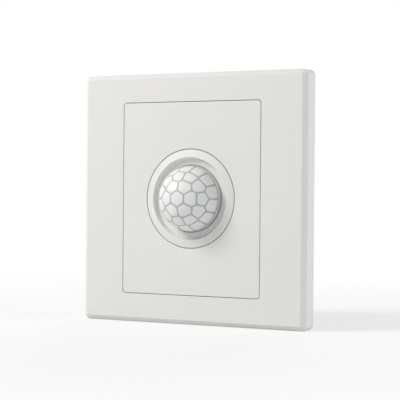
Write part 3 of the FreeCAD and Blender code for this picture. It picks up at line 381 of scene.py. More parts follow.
class Paintshop:
    """Builds one material for each finish and hands it out by name."""

    values = PaintValues()

    def __init__(self, effects: EffectShelf) -> None:
        """Keeps the shared effects."""
        self.effects = effects
        self.made: dict[str, bpy.types.Material] = {}

    def material(self, finish: Finish) -> bpy.types.Material:
        """Gives the finish's material, built at its first use.

        Args:
            finish: The finish.

        Returns:
            The material.
        """
        if finish.name not in self.made:
            self.made[finish.name] = self._mixed(finish)
        return self.made[finish.name]

    @staticmethod
    def _placed(sheet: NodeSheet, tree: bpy.types.NodeTree, value: float) -> bpy.types.NodeOutputs:
        """Places a shared group.

        Args:
            sheet: The material's sheet.
            tree: The group.
            value: The number that the group is given.

        Returns:
            The group's outputs.
        """
        node = sheet.add("Group", node_tree=tree)
        node.inputs[0].default_value = value
        return node.outputs

    def _mixed(self, finish: Finish) -> bpy.types.Material:
        """Builds a material: clouded colour, a painted highlight on its edges, dust, painted shade along the
        lens zone borders, and a bump for its texture.

        Args:
            finish: The finish.

        Returns:
            The material.
        """
        values, effects = self.values, self.effects
        material = bpy.data.materials.new(finish.name)
        material.use_nodes = True
        material.diffuse_color = (*finish.colour, 1.0)
        sheet = NodeSheet(material.node_tree)
        out, shader = sheet.add("OutputMaterial"), sheet.add("BsdfPrincipled")
        sheet.feed(shader.outputs["BSDF"], out.inputs["Surface"])
        grain = self._placed(sheet, effects.grain, finish.grain_size)
        edge = self._placed(sheet, effects.edge, finish.edge_radius)
        dust = self._placed(sheet, effects.dust, finish.dust)["Mask"]
        cloud = sheet.maths("MULTIPLY_ADD", grain["Cloud"], values.cloud_gain, values.cloud_shift, clamp=True)
        colour = sheet.mix(cloud, finish.colour, finish.second)
        height = grain["Height"]
        if finish.texture is Texture.BRUSHED:
            height = self._placed(sheet, effects.brushed, finish.grain_size)["Height"]
        if finish.texture is Texture.LAMINATE:
            cloth = self._placed(sheet, effects.weave, values.cloth_pitch)["Mask"]
            colour = sheet.mix(cloth, colour, tuple(values.cloth_gain * part for part in finish.colour))
            height = sheet.maths("MULTIPLY_ADD", cloth, values.cloth_height, height)
        if finish.texture is Texture.ZONED:
            rings = self._placed(sheet, effects.rings, values.ring_pitch)
            # Painted shade along the lens zone borders, where the grooves lie.
            colour = sheet.mix(rings["Border"], colour, values.border_colour)
            height = sheet.maths("MULTIPLY_ADD", rings["Height"], values.ring_height, height)
        # Painted highlight: edges are lightened by the edge mask times the finish's edge_light.
        edge_highlight = tuple(min(1.0, values.worn_gain * part + values.worn_lift) for part in finish.colour)
        colour = sheet.mix(sheet.maths("MULTIPLY", edge["Mask"], finish.edge_light), colour, edge_highlight)
        sheet.feed(sheet.mix(dust, colour, values.dust_colour), shader.inputs["Base Color"])
        rough = sheet.maths("MULTIPLY_ADD", grain["Cloud"], values.rough_swing,
                            finish.roughness - values.rough_swing / 2)
        sheet.feed(sheet.maths("ADD", rough, dust, clamp=True), shader.inputs["Roughness"])
        bump = sheet.add("Bump")
        strength = values.gloss_bump if finish.texture is Texture.GLOSS else values.bump
        for label, value in (("Strength", strength), ("Distance", finish.grain_height * MM),
                             ("Height", height), ("Normal", edge["Normal"])):
            sheet.feed(value, bump.inputs[label])
        for label, value in (("Normal", bump.outputs["Normal"]), ("Metallic", finish.metallic),
                             ("Coat Weight", finish.coat), ("Coat Roughness", values.coat_roughness),
                             ("Subsurface Weight", finish.subsurface),
                             ("Subsurface Scale", values.subsurface_scale * MM)):
            sheet.feed(value, shader.inputs[label])
        return material


FINISHES: dict[str, Finish] = {finish.name: finish for finish in (
    Finish("white_shell", (0.755, 0.753, 0.740), (0.770, 0.768, 0.756), 0.46, grain_size=0.30,
           grain_height=0.0015, edge_radius=0.05, edge_light=0.25, dust=0.015, coat=0.03),
    Finish("milky_lens", (0.800, 0.810, 0.805), (0.818, 0.826, 0.821), 0.38, Texture.ZONED,
           grain_size=0.5, grain_height=0.006, edge_radius=0.04, dust=0.01, subsurface=0.15),
    Finish("carrier_plastic", (0.62, 0.62, 0.60), (0.66, 0.66, 0.64), 0.55, grain_height=0.010,
           edge_radius=0.15),
    Finish("housing_plastic", (0.42, 0.43, 0.43), (0.46, 0.47, 0.47), 0.58, grain_size=0.45,
           grain_height=0.016, edge_radius=0.25, edge_light=0.15),
    Finish("board_laminate", (0.012, 0.115, 0.045), (0.018, 0.135, 0.055), 0.32, Texture.LAMINATE,
           grain_height=0.006, edge_radius=0.05, coat=0.3),
    Finish("nylon", (0.72, 0.70, 0.63), (0.76, 0.74, 0.68), 0.5, subsurface=0.05),
    Finish("zinc_steel", (0.46, 0.47, 0.48), (0.54, 0.54, 0.53), 0.36, Texture.BRUSHED, metallic=1.0,
           edge_radius=0.08, edge_light=0.2),
    Finish("can_steel", (0.66, 0.66, 0.65), (0.72, 0.72, 0.70), 0.22, Texture.BRUSHED, metallic=1.0,
           grain_height=0.002, edge_radius=0.15),
    Finish("dark_window", (0.02, 0.018, 0.022), (0.03, 0.026, 0.030), 0.10, Texture.GLOSS, coat=0.6),
    Finish("tinned_lead", (0.66, 0.66, 0.63), (0.74, 0.74, 0.72), 0.30, Texture.BRUSHED, metallic=1.0),
    Finish("red_lamp", (0.50, 0.025, 0.018), (0.58, 0.04, 0.03), 0.12, Texture.GLOSS, coat=0.5,
           subsurface=0.2),
    Finish("clear_resin", (0.55, 0.58, 0.58), (0.62, 0.64, 0.63), 0.12, Texture.GLOSS, coat=0.5,
           subsurface=0.3),
    Finish("blue_plastic", (0.018, 0.060, 0.27), (0.024, 0.075, 0.31), 0.36),
    Finish("knob_plastic", (0.76, 0.74, 0.66), (0.80, 0.78, 0.71), 0.40),
    Finish("black_plastic", (0.018, 0.018, 0.020), (0.026, 0.026, 0.028), 0.48),
    Finish("button_plastic", (0.42, 0.022, 0.018), (0.48, 0.032, 0.026), 0.34),
    Finish("chip_ceramic", (0.022, 0.022, 0.026), (0.032, 0.032, 0.036), 0.35),
    Finish("capacitor_ceramic", (0.42, 0.27, 0.15), (0.48, 0.32, 0.19), 0.45),
    Finish("terminal_plastic", (0.020, 0.115, 0.062), (0.028, 0.135, 0.075), 0.38),
    Finish("brass", (0.72, 0.50, 0.20), (0.78, 0.58, 0.27), 0.28, Texture.BRUSHED, metallic=1.0),
    Finish("cage_steel", (0.68, 0.66, 0.60), (0.74, 0.72, 0.67), 0.30, Texture.BRUSHED, metallic=1.0),
    Finish("relay_plastic", (0.015, 0.045, 0.20), (0.020, 0.055, 0.23), 0.30, coat=0.2),
    Finish("relay_base_plastic", (0.016, 0.016, 0.018), (0.024, 0.024, 0.026), 0.50),
    Finish("soft_iron", (0.46, 0.46, 0.45), (0.54, 0.54, 0.52), 0.36, Texture.BRUSHED, metallic=1.0),
    Finish("copper", (0.60, 0.22, 0.09), (0.68, 0.28, 0.13), 0.30, Texture.BRUSHED, metallic=1.0),
    Finish("yellow_film", (0.62, 0.42, 0.035), (0.68, 0.48, 0.055), 0.34),
    Finish("ferrite", (0.035, 0.034, 0.036), (0.055, 0.053, 0.055), 0.60),
    Finish("winding_tape", (0.66, 0.48, 0.06), (0.72, 0.55, 0.10), 0.30, coat=0.2),
    Finish("dark_sleeve", (0.012, 0.015, 0.035), (0.018, 0.022, 0.045), 0.26, coat=0.2),
    Finish("varistor_coat", (0.022, 0.075, 0.24), (0.032, 0.095, 0.28), 0.36),
    Finish("label_film", (0.70, 0.715, 0.725), (0.73, 0.745, 0.75), 0.30, grain_size=0.2,
           grain_height=0.001, edge_radius=0.02, coat=0.15),
    Finish("label_ink", (0.10, 0.105, 0.11), (0.12, 0.125, 0.13), 0.45, grain_height=0.001,
           edge_radius=0.02, edge_light=0.0),
    Finish("masked_copper", (0.030, 0.200, 0.085), (0.036, 0.220, 0.095), 0.26, grain_height=0.003,
           edge_radius=0.03, edge_light=0.0, coat=0.3),
    Finish("resistor_coat", (0.13, 0.20, 0.13), (0.17, 0.24, 0.16), 0.62),
)}

# Limits of the rounding. Each share is of the side, cut or width beside it, the rest is in millimetres.
CUT_SHARE = 0.45
SUPPORT_LEAST = 0.01
SUPPORT_SHARE = 0.2
SUPPORT_MOST = 0.08
LEAST_CORNER = 0.02
BLOCK_REACH_SHARE = 0.3
PLATE_REACH_SHARE = 0.4
PLATE_EDGE_SHARE = 0.3

# A corner radius of this share of half the side makes a round outline.
ROUND_SHARE = 0.98


@dataclass(frozen=True)
class Corner:
    """One corner of a profile: inset from the outline, depth along Y and rounding radius."""

    inset: float
    depth: float
    radius: float = 0.0


def soften(corners: Sequence[Corner], closed: bool = False, steps: int = 6) -> Array:
    """Rounds the corners of a profile.

    Each corner is cut back by radius * tan(half the turn) along both sides, and the arc between
    the two cuts is sampled evenly in angle. A support point stands just outside each cut, so that
    smooth shading stays flat beside the arc.

    Args:
        corners: The profile's corners in order.
        closed: Whether the last corner joins the first.
        steps: Pieces of each arc.

    Returns:
        Points as an array of (inset, depth).
    """
    points = np.array([(corner.inset, corner.depth) for corner in corners])
    count = len(points)
    made: list[Array] = []
    for index, corner in enumerate(corners):
        here = points[index]
        if corner.radius <= 0 or (not closed and index in (0, count - 1)):
            made.append(here[None, :])
            continue
        back = points[index - 1] - here
        ahead = points[(index + 1) % count] - here
        back_length, ahead_length = np.linalg.norm(back), np.linalg.norm(ahead)
        back, ahead = back / back_length, ahead / ahead_length
        opening = math.acos(float(np.clip(back @ ahead, -1.0, 1.0)))
        cut = min(corner.radius / math.tan(opening / 2), CUT_SHARE * back_length, CUT_SHARE * ahead_length)
        radius = cut * math.tan(opening / 2)
        centre = here + (back + ahead) / np.linalg.norm(back + ahead) * radius / math.sin(opening / 2)
        first, last = here + back * cut - centre, here + ahead * cut - centre
        share = np.linspace(0.0, 1.0, steps + 1)[:, None]
        span = math.pi - opening
        arc = (np.sin((1 - share) * span) * first + np.sin(share * span) * last) / math.sin(span)
        reach = cut + min(SUPPORT_MOST, SUPPORT_SHARE * cut + SUPPORT_LEAST)
        made += [(here + back * reach)[None, :], centre + arc, (here + ahead * reach)[None, :]]
    return np.concatenate(made)


def wall(reach: float, start: float, end: float, edge: float, steps: int) -> Array:
    """Profile of a wall with rounded edges, which reaches in over its first and its last face."""
    return soften([Corner(reach, start), Corner(0.0, start, edge), Corner(0.0, end, edge),
                   Corner(reach, end)], steps=steps)


def at_depth(flat: Array, depth: float) -> Array:
    """Puts points of X and Z at one depth along Y."""
    return np.insert(flat, 1, depth, axis=1)


def outline(width: float, height: float, radius: float, depth: float, arc: int = 10, side: int = 6) -> Array:
    """One ring of points round a rectangle with rounded corners.

    Every outline with the same arc and side has matching points: each quarter is an arc of even
    angle steps about (half size minus radius), followed by even steps along the straight side.

    Args:
        width: Size along X.
        height: Size along Z.
        radius: Corner radius.
        depth: Place along Y.
        arc: Pieces of each corner.
        side: Pieces of each side.

    Returns:
        Points as an array of (x, y, z).
    """
    turn = np.linspace(0.0, math.pi / 2, arc + 1)
    quarters: list[Array] = []
    for index, (right, up) in enumerate(((1, 1), (-1, 1), (-1, -1), (1, -1))):
        middle = np.array([right * (width / 2 - radius), up * (height / 2 - radius)])
        angle = turn + index * math.pi / 2
        quarters.append(middle + radius * np.stack([np.cos(angle), np.sin(angle)], axis=1))
    made: list[Array] = []
    share = np.linspace(0.0, 1.0, side + 1)[1:-1, None]
    for points, after in zip(quarters, quarters[1:] + quarters[:1]):
        made += [points, points[-1] * (1 - share) + after[0] * share]
    return at_depth(np.concatenate(made), depth)


@dataclass
class Surface:
    """A closed surface in millimetres: its points, quads, caps and point values."""

    points: Array
    quads: Indices
    caps: list[list[int]] = field(default_factory=list)
    values: dict[str, Array] = field(default_factory=dict)


def stack(rings: Array, closed: bool = False) -> Surface:
    """Makes a surface from a stack of rings, with flat caps where it is open.

    Quad (i, j) has the corners (i, j), (i+1, j), (i+1, j+1) and (i, j+1), where j wraps round and
    i wraps only when the first and last ring are joined.

    Args:
        rings: Points as (ring, around, 3), in millimetres.
        closed: Whether the last ring joins the first, which makes a closed tube.

    Returns:
        The surface.
    """
    count, around = rings.shape[:2]
    i, j = np.meshgrid(np.arange(count if closed else count - 1), np.arange(around), indexing="ij")
    after_i, after_j = (i + 1) % count, (j + 1) % around
    corners = (i * around + j, after_i * around + j, after_i * around + after_j, i * around + after_j)
    caps = [] if closed else [list(range(around))[::-1], list(range((count - 1) * around, count * around))]
    return Surface(rings.reshape(-1, 3), np.stack(corners, axis=-1).reshape(-1, 4), caps)


def joined(shells: Sequence[Surface]) -> Surface:
    """Puts several closed surfaces into one piece as loose shells.

    Args:
        shells: The surfaces.

    Returns:
        One surface with all the shells.
    """
    starts = np.cumsum([0] + [len(shell.points) for shell in shells]).tolist()
    quads = [shell.quads + start for shell, start in zip(shells, starts)]
    caps = [[index + start for index in cap] for shell, start in zip(shells, starts) for cap in shell.caps]
    return Surface(np.concatenate([shell.points for shell in shells]), np.concatenate(quads), caps)


def turned(profile: Array, angle: Array) -> Array:
    """Rings of a profile of (radius, y) turned about Y from X towards Z: (r cos a, y, r sin a)."""
    across, up = profile[:, :1] * np.cos(angle), profile[:, :1] * np.sin(angle)
    return np.stack([across, np.repeat(profile[:, 1:], len(angle), axis=1), up], axis=-1)


def circle(steps: int) -> Array:
    """Even angles once round, in radians."""
    return np.linspace(0.0, FULL_TURN, steps, endpoint=False)


def lathed(radius: Array, depth: Array, around: int) -> Surface:
    """A solid turned about Y, from the radius and the depth of each of its rings."""
    return stack(turned(np.stack([radius, depth], axis=1), circle(around)))


def plain_ring(bore: float, radius: float, front: float, back: float, edge: float, around: int,
               steps: int) -> Surface:
    """A ring about Y with a rectangular section and rounded edges.

    Args:
        bore: Inner radius.
        radius: Outer radius.
        front: Front face along Y.
        back: Back face along Y.
        edge: Rounding of its four edges.
        around: Points in each ring.
        steps: Pieces of each arc.

    Returns:
        The surface.
    """
    profile = soften([Corner(bore, front, edge), Corner(radius, front, edge), Corner(radius, back, edge),
                      Corner(bore, back, edge)], closed=True, steps=steps)
    return stack(turned(profile, circle(around)), closed=True)


def moved(surface: Surface, x: float = 0.0, z: float = 0.0, turn: float = 0.0) -> Surface:
    """A copy of a surface, turned about Y and shifted in X and Z.

    Args:
        surface: The surface.
        x: Shift along X.
        z: Shift along Z.
        turn: Angle in degrees from X towards Z.

    Returns:
        The copy.
    """
    c, s = math.cos(math.radians(turn)), math.sin(math.radians(turn))
    across, depth, up = surface.points.T
    points = np.stack([across * c - up * s + x, depth, across * s + up * c + z], axis=1)
    return replace(surface, points=points)


def soft_block(low: Point, high: Point, edge: float, corner: float) -> Surface:
    """A block with rounded corners and rounded front and back edges.

    Each ring is the outline, drawn in by the inset that a wall with rounded edges has at its depth.

    Args:
        low: Lowest corner.
        high: Highest corner.
        edge: Rounding of the front and back edges.
        corner: Rounding of the edges along Y.

    Returns:
        The surface.
    """
    width, height = high[0] - low[0], high[2] - low[2]
    profile = wall(BLOCK_REACH_SHARE * min(width, height), low[1], high[1], edge, steps=3)
    rings = [outline(width - 2 * inset, height - 2 * inset, max(corner - inset, LEAST_CORNER), depth,
                     arc=3, side=2) for inset, depth in profile]
    return moved(stack(np.array(rings)), (low[0] + high[0]) / 2, (low[2] + high[2]) / 2)


def pierced_plate(size: RoundRect, hole: RoundRect, middle: Place, front: float, back: float,
                  arc: int = 6) -> Surface:
    """A flat plate with rounded corners and a rounded opening, softened along its edges.

    The rings run round the outside from back to front and round the opening from front to back.
    An opening whose corner radius is nearly half its side is a round hole.

    Args:
        size: Width, height and corner radius of the plate.
        hole: Width, height and corner radius of the opening.
        middle: Place of both in X and Z.
        front: Front face along Y.
        back: Back face along Y.
        arc: Pieces of each corner.

    Returns:
        The surface.
    """
    border = min(size[0] - hole[0], size[1] - hole[1]) / 2
    edge = PLATE_EDGE_SHARE * min(border, back - front)
    rings = []
    for (width, height, corner), way, levels in ((size, -1, (back, front)), (hole, 1, (front, back))):
        for inset, depth in wall(PLATE_REACH_SHARE * border, *levels, edge, steps=2):
            grown = 2 * way * inset
            rings.append(outline(width + grown, height + grown, max(corner + way * inset, LEAST_CORNER),
                                 depth, arc, side=3))
    return moved(stack(np.array(rings), closed=True), *middle)


def ribbon(path: Sequence[Place], width: float, front: float, back: float) -> Surface:
    """A flat strip carried along a path in X and Z, mitred at its bends.

    At each point the strip reaches half a width to both sides along the mean of the neighbouring
    normals, made longer by one over the cosine of half the turn.

    Args:
        path: Points of the middle line as (x, z).
        width: Width of the strip.
        front: Front face along Y.
        back: Back face along Y.

    Returns:
        The surface.
    """
    points = np.array(path)
    apart = np.linalg.norm(np.diff(points, axis=0), axis=1) > MM
    points = points[np.concatenate([[True], apart])]
    steps = np.diff(points, axis=0)
    steps /= np.linalg.norm(steps, axis=1)[:, None]
    normals = np.stack([-steps[:, 1], steps[:, 0]], axis=1)
    mean = np.concatenate([normals[:1], normals[:-1] + normals[1:], normals[-1:]])
    mean /= np.linalg.norm(mean, axis=1)[:, None]
    reach = np.concatenate([normals[:1], normals])
    side = mean * (width / 2 / np.sum(mean * reach, axis=1))[:, None]
    corners = ((points + side, back), (points + side, front), (points - side, front), (points - side, back))
    return stack(np.stack([at_depth(flat, depth) for flat, depth in corners], axis=1))


def wound_wire(radius: float, wire: float, low: float, high: float, turns: int, steps: int = 28,
               sides: int = 6) -> Surface:
    """One layer of wire wound round Y.

    The middle line is (R cos t, y0 + p t, R sin t), and the section is a circle in the plane of
    the radius and the axis.

    Args:
        radius: Distance of the wire's middle from the axis.
        wire: Radius of the wire.
        low: Middle of the first turn along Y.
        high: Middle of the last turn along Y.
        turns: Number of turns.
        steps: Pieces of each turn.
        sides: Points round the wire.

    Returns:
        The surface.
    """
    t = np.linspace(0.0, FULL_TURN * turns, turns * steps + 1)[:, None]
    s = circle(sides)[None, :]
    out = radius + wire * np.cos(s)
    along = low + (high - low) * t / t[-1]
    return stack(np.stack([out * np.cos(t), along + wire * np.sin(s), out * np.sin(t)], axis=-1))


def ball(lean: Array, around: Array) -> Array:
    """Unit vectors about the axis out of the wall: (sin t cos p, -cos t, sin t sin p)."""
    return np.stack([np.sin(lean) * np.cos(around), -np.cos(lean), np.sin(lean) * np.sin(around)], axis=-1)


def spread(count: int, pitch: float) -> Array:
    """Evenly spaced places centred on zero."""
    return (np.arange(count) - (count - 1) / 2) * pitch


def four_places(x: float, z: float) -> list[Place]:
    """The places at plus and minus x and z."""
    return [(right * x, up * z) for right in (-1, 1) for up in (-1, 1)]


def node_box(node: str) -> tuple[Array, Array, Array]:
    """Lowest corner, highest corner and middle of a construction node, in millimetres."""
    low, high = (np.array(corner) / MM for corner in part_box(node))
    return low, high, (low + high) / 2


def mesh_points(mesh: bpy.types.Mesh) -> Array:
    """Reads the points of a mesh.

    Args:
        mesh: The mesh.

    Returns:
        Points as (point, 3), in metres.
    """
    points = np.empty(len(mesh.vertices) * 3)
    mesh.vertices.foreach_get("co", points)
    return points.reshape(-1, 3)


def cleaned(mesh: bpy.types.Mesh, weld: float = 0.0, flat: float = 0.0, outwards: bool = False) -> None:
    """Welds doubled points, makes neighbouring flat faces one, or turns all faces outwards.

    Args:
        mesh: The mesh, which is changed in place.
        weld: Distance in metres up to which points are doubles, or 0 to leave them.
        flat: Angle in degrees up to which faces are one, or 0 to leave them.
        outwards: Whether the faces are turned outwards.
    """
    work = bmesh.new()
    work.from_mesh(mesh)
    if weld > 0:
        bmesh.ops.remove_doubles(work, verts=work.verts, dist=weld)
    if flat > 0:
        bmesh.ops.dissolve_limit(work, angle_limit=math.radians(flat), verts=work.verts, edges=work.edges)
    if outwards:
        bmesh.ops.recalc_face_normals(work, faces=work.faces)
    work.to_mesh(mesh)
    work.free()


class SubAssembly:
    """A group of pieces that is built together."""

    def __init__(self, paint: Paintshop) -> None:
        """Keeps the paint shop."""
        self.paint = paint

    def show(self, name: str, mesh: bpy.types.Mesh, slot: str, body: str, node: str | None = None,
             finish: str | None = None) -> bpy.types.Object:
        """Puts a mesh into the scene as a piece that rides on a body and may stand for a node.

        Args:
            name: Name of the piece.
            mesh: Its mesh in metres, in place.
            slot: The record's slot.
            body: The body it rides on.
            node: The node it stands for, if any.
            finish: Its finish, where that isn't the slot's own.

        Returns:
            The object.
        """
        mesh.materials.clear()
        mesh.materials.append(self.paint.material(FINISHES[finish or slot]))
        piece = bpy.data.objects.new(name, mesh)
        bpy.context.scene.collection.objects.link(piece)
        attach(piece, body)
        if node is not None:
            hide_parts(node)
        LOG.info("piece %s: %d points, %d faces", name, len(mesh.vertices), len(mesh.polygons))
        return piece

    def add(self, name: str, surface: Surface, slot: str, body: str, node: str | None = None,
            finish: str | None = None) -> None:
        """Makes a piece from a surface.

        Args:
            name: Name of the piece.
            surface: Its surface in millimetres.
            slot: The record's slot.
            body: The body it rides on.
            node: The node it stands for, if any.
            finish: Its finish, where that isn't the slot's own.
        """
        mesh = bpy.data.meshes.new(name)
        mesh.from_pydata((surface.points * MM).tolist(), [], surface.quads.tolist() + surface.caps)
        for label, value in surface.values.items():
            mesh.attributes.new(label, "FLOAT", "POINT").data.foreach_set("value", value.astype(np.float32))
        mesh.shade_smooth()
        cleaned(mesh, outwards=True)
        mesh.validate()
        self.show(name, mesh, slot, body, node, finish)


@dataclass(frozen=True)
class PegSizes:
    """Sizes of four friction pegs and the places of their middles, in millimetres."""

    x: float
    z: float
    width: float = 4.0
    thick: float = 1.6
    stop: float = 0.4
    root: float = 0.2
    edge: float = 0.2

    def shells(self, inner: float) -> list[Surface]:
        """The four pegs.

        Args:
            inner: Inner face of the shell that they stand on, along Y.

        Returns:
            One block for each peg.
        """
        low = (-self.width / 2, inner - self.root, -self.thick / 2)
        high = (self.width / 2, -self.stop, self.thick / 2)
        peg = soft_block(low, high, self.edge, self.edge)
        return [moved(peg, x, z) for x, z in four_places(self.x, self.z)]


@dataclass
class ShellSizes:
    """Sizes that the frame and the cover, flush with it, have in common, in millimetres."""

    face: float = 7.0
    shell: float = 1.8
    skirt: float = 1.4
    skirt_end: float = 2.4
    edge: float = 0.16
    hidden_edge: float = 0.1

    @property
    def inner(self) -> float:
        """Inner face of the shell, along Y."""
        return -self.face + self.shell


@dataclass
class OuterFrameSizes(ShellSizes):
    """Sizes of the outer frame in millimetres."""

    side: float = 86.0
    corner: float = 1.9
    face_corner: float = 0.6
    least_corner: float = 0.35
    bevel_width: float = 1.55
    bevel_depth: float = 1.52
    window_width: float = 53.2
    window_height: float = 66.3
    window_corner: float = 1.2
    rear_edge: float = 0.15
    face_reach: float = 1.2
    inner_reach: float = 1.0
    pegs: PegSizes = PegSizes(x=36.0, z=36.475)


class OuterFrame(SubAssembly):
    """The bevelled square frame with its portrait window."""

    sizes = OuterFrameSizes()

    def build(self) -> None:
        """Builds the frame as one closed tube of rings, with its four friction pegs."""
        size = self.sizes
        outside = soften([
            Corner(size.shell + size.inner_reach, size.inner),
            Corner(size.shell, size.inner, size.hidden_edge),
            Corner(size.shell, 0.0, size.hidden_edge),
            Corner(0.0, 0.0, size.rear_edge),
            Corner(0.0, -size.face + size.bevel_depth, size.edge),
            Corner(size.bevel_width, -size.face, size.edge),
            Corner(size.bevel_width + size.face_reach, -size.face),
        ])
        inside = soften([
            Corner(size.face_reach, -size.face),
            Corner(0.0, -size.face, size.edge),
            Corner(0.0, -size.skirt_end, size.hidden_edge),
            Corner(size.skirt, -size.skirt_end, size.hidden_edge),
            Corner(size.skirt, size.inner, size.hidden_edge),
            Corner(size.skirt + size.face_reach, size.inner),
        ])
        rings = [self._outer_ring(inset, depth) for inset, depth in outside]
        rings += [self._window_ring(offset, depth) for offset, depth in inside]
        shells = [stack(np.array(rings), closed=True), *size.pegs.shells(size.inner)]
        self.add("frame_shell", joined(shells), "white_shell", "frame", "outer_frame")

    def _outer_ring(self, inset: float, depth: float) -> Array:
        """One ring that follows the outer square, whose corners grow sharper over the bevel.

        Args:
            inset: Distance in from the outer face.
            depth: Place along Y.

        Returns:
            Points of the ring.
        """
        size = self.sizes
        slope = (size.corner - size.face_corner) / size.bevel_width
        side = size.side - 2 * inset
        return outline(side, side, max(size.corner - slope * inset, size.least_corner), depth)

    def _window_ring(self, offset: float, depth: float) -> Array:
        """One ring at an offset out from the window's edge, at one depth along Y."""
        size = self.sizes
        return outline(size.window_width + 2 * offset, size.window_height + 2 * offset,
                       size.window_corner + offset, depth)


@dataclass
class CoverSizes(ShellSizes):
    """Sizes of the centre cover, its ring and its lens in millimetres.

    The wedges' angle is in degrees, and the small opening at the lens pole in radians.
    """

    width: float = 52.8
    height: float = 65.9
    corner: float = 1.0
    least_corner: float = 0.2
    seat_edge: float = 0.05
    face_reach: float = 1.0
    hole_reach: float = 0.8
    pegs: PegSizes = PegSizes(x=19.4, z=28.525)
    bezel_r: float = 16.75
    bezel_gap: float = 0.3
    seat_depth: float = 0.9
    rim_r: float = 14.1
    rim_rise: float = 0.63
    rim_edge: float = 0.14
    lip_edge: float = 0.12
    recess_r: float = 13.42
    recess_depth: float = 1.03
    recess_floor: float = 0.9
    tube_wall: float = 0.8
    lens_r: float = 11.2
    lens_gap: float = 0.4
    lens_wall: float = 0.7
    skin_inset: float = 0.006
    flange: float = 0.8
    retainer: float = 1.1
    retainer_edge: float = 0.15
    snap_count: int = 4
    snap_angle: float = 24.0
    snap_reach: float = 0.8
    snap_depth: float = 0.7
    snap_gap: float = 0.1
    snap_points: int = 13
    side_steps: int = 48
    bezel_steps: int = 240
    retainer_steps: int = 120
    lens_steps: int = 480
    lens_rows: int = 111
    inner_rows: int = 20
    lens_pole: float = 0.002

    @property
    def seat(self) -> float:
        """Step of the cover that the ring sits on, along Y."""
        return -self.face + self.seat_depth

    @property
    def floor(self) -> float:
        """Sunken floor of the ring round the lens, along Y."""
        return -self.face + self.recess_depth

    @property
    def flange_front(self) -> float:
        """Front of the lens flange, behind the ring's floor, along Y."""
        return self.floor + self.recess_floor

    @property
    def flange_back(self) -> float:
        """Back of the lens flange, where the retainer begins, along Y."""
        return self.flange_front + self.flange

    @property
    def flange_r(self) -> float:
        """Radius of the lens flange and of its retainer."""
        return self.recess_r - self.bezel_gap

    @property
    def tube_r(self) -> float:
        """Outer radius of the ring's tube."""
        return self.recess_r + self.tube_wall

    @property
    def bore_r(self) -> float:
        """Inner radius of the lens."""
        return self.lens_r - self.lens_wall


@dataclass
class ZonePlan:
    """The lens zones: rings of cells about the lens axis, tilted a little to one side.

    Angles are in degrees, lengths in millimetres, and a shift is a share of the step to the next cell.
    """

    counts: tuple[int, ...] = (1, 6, 11, 14)
    angles: tuple[float, ...] = (0.0, 25.03, 45.09, 64.51)
    shifts: tuple[float, ...] = (0.0, 0.0, 0.0, 0.5)
    tilt: float = 2.58
    limit: float = 82.5
    line: float = 0.25
    depth: float = 0.14

    def sites(self) -> Array:
        """Unit vectors of the zone middles.

        A site at angle t from the axis and p round it is (sin t cos p, -cos t, sin t sin p),
        turned by the tilt about Z.

        Returns:
            Points as (zone, 3).
        """
        rows = []
        for count, angle, shift in zip(self.counts, self.angles, self.shifts):
            around = np.radians((np.arange(count) + shift) * 360.0 / count)
            rows.append(ball(np.full(count, math.radians(angle)), around))
        x, y, z = np.concatenate(rows).T
        c, s = math.cos(math.radians(self.tilt)), math.sin(math.radians(self.tilt))
        return np.stack([x * c - y * s, x * s + y * c, z], axis=1)

    def grooves(self, way: Array, lean: Array, radius: float) -> tuple[Array, Array]:
        """How deep the skin sinks along the zone borders.

        The share is exp(-(d / line)^2), where d is half the difference between the distances to
        the two nearest zone middles, which is zero on a border, or the distance to the rim.

        Args:
            way: Unit vectors on the skin.
            lean: Their angles from the axis.
            radius: Radius of the skin in millimetres.

        Returns:
            The share of the groove's depth, and the distance to the nearest middle.
        """
        angles = np.arccos(np.clip(way @ self.sites().T, -1.0, 1.0))
        near = np.sort(angles, axis=-1)[..., :2] * radius
        between = (near[..., 1] - near[..., 0]) / 2
        past = np.degrees(lean) - self.limit
        rim = np.abs(past) * math.pi / 180 * radius
        apart = np.where(past > 0, rim, np.minimum(between, rim))
        return np.exp(-(apart / self.line) ** 2), near[..., 0]


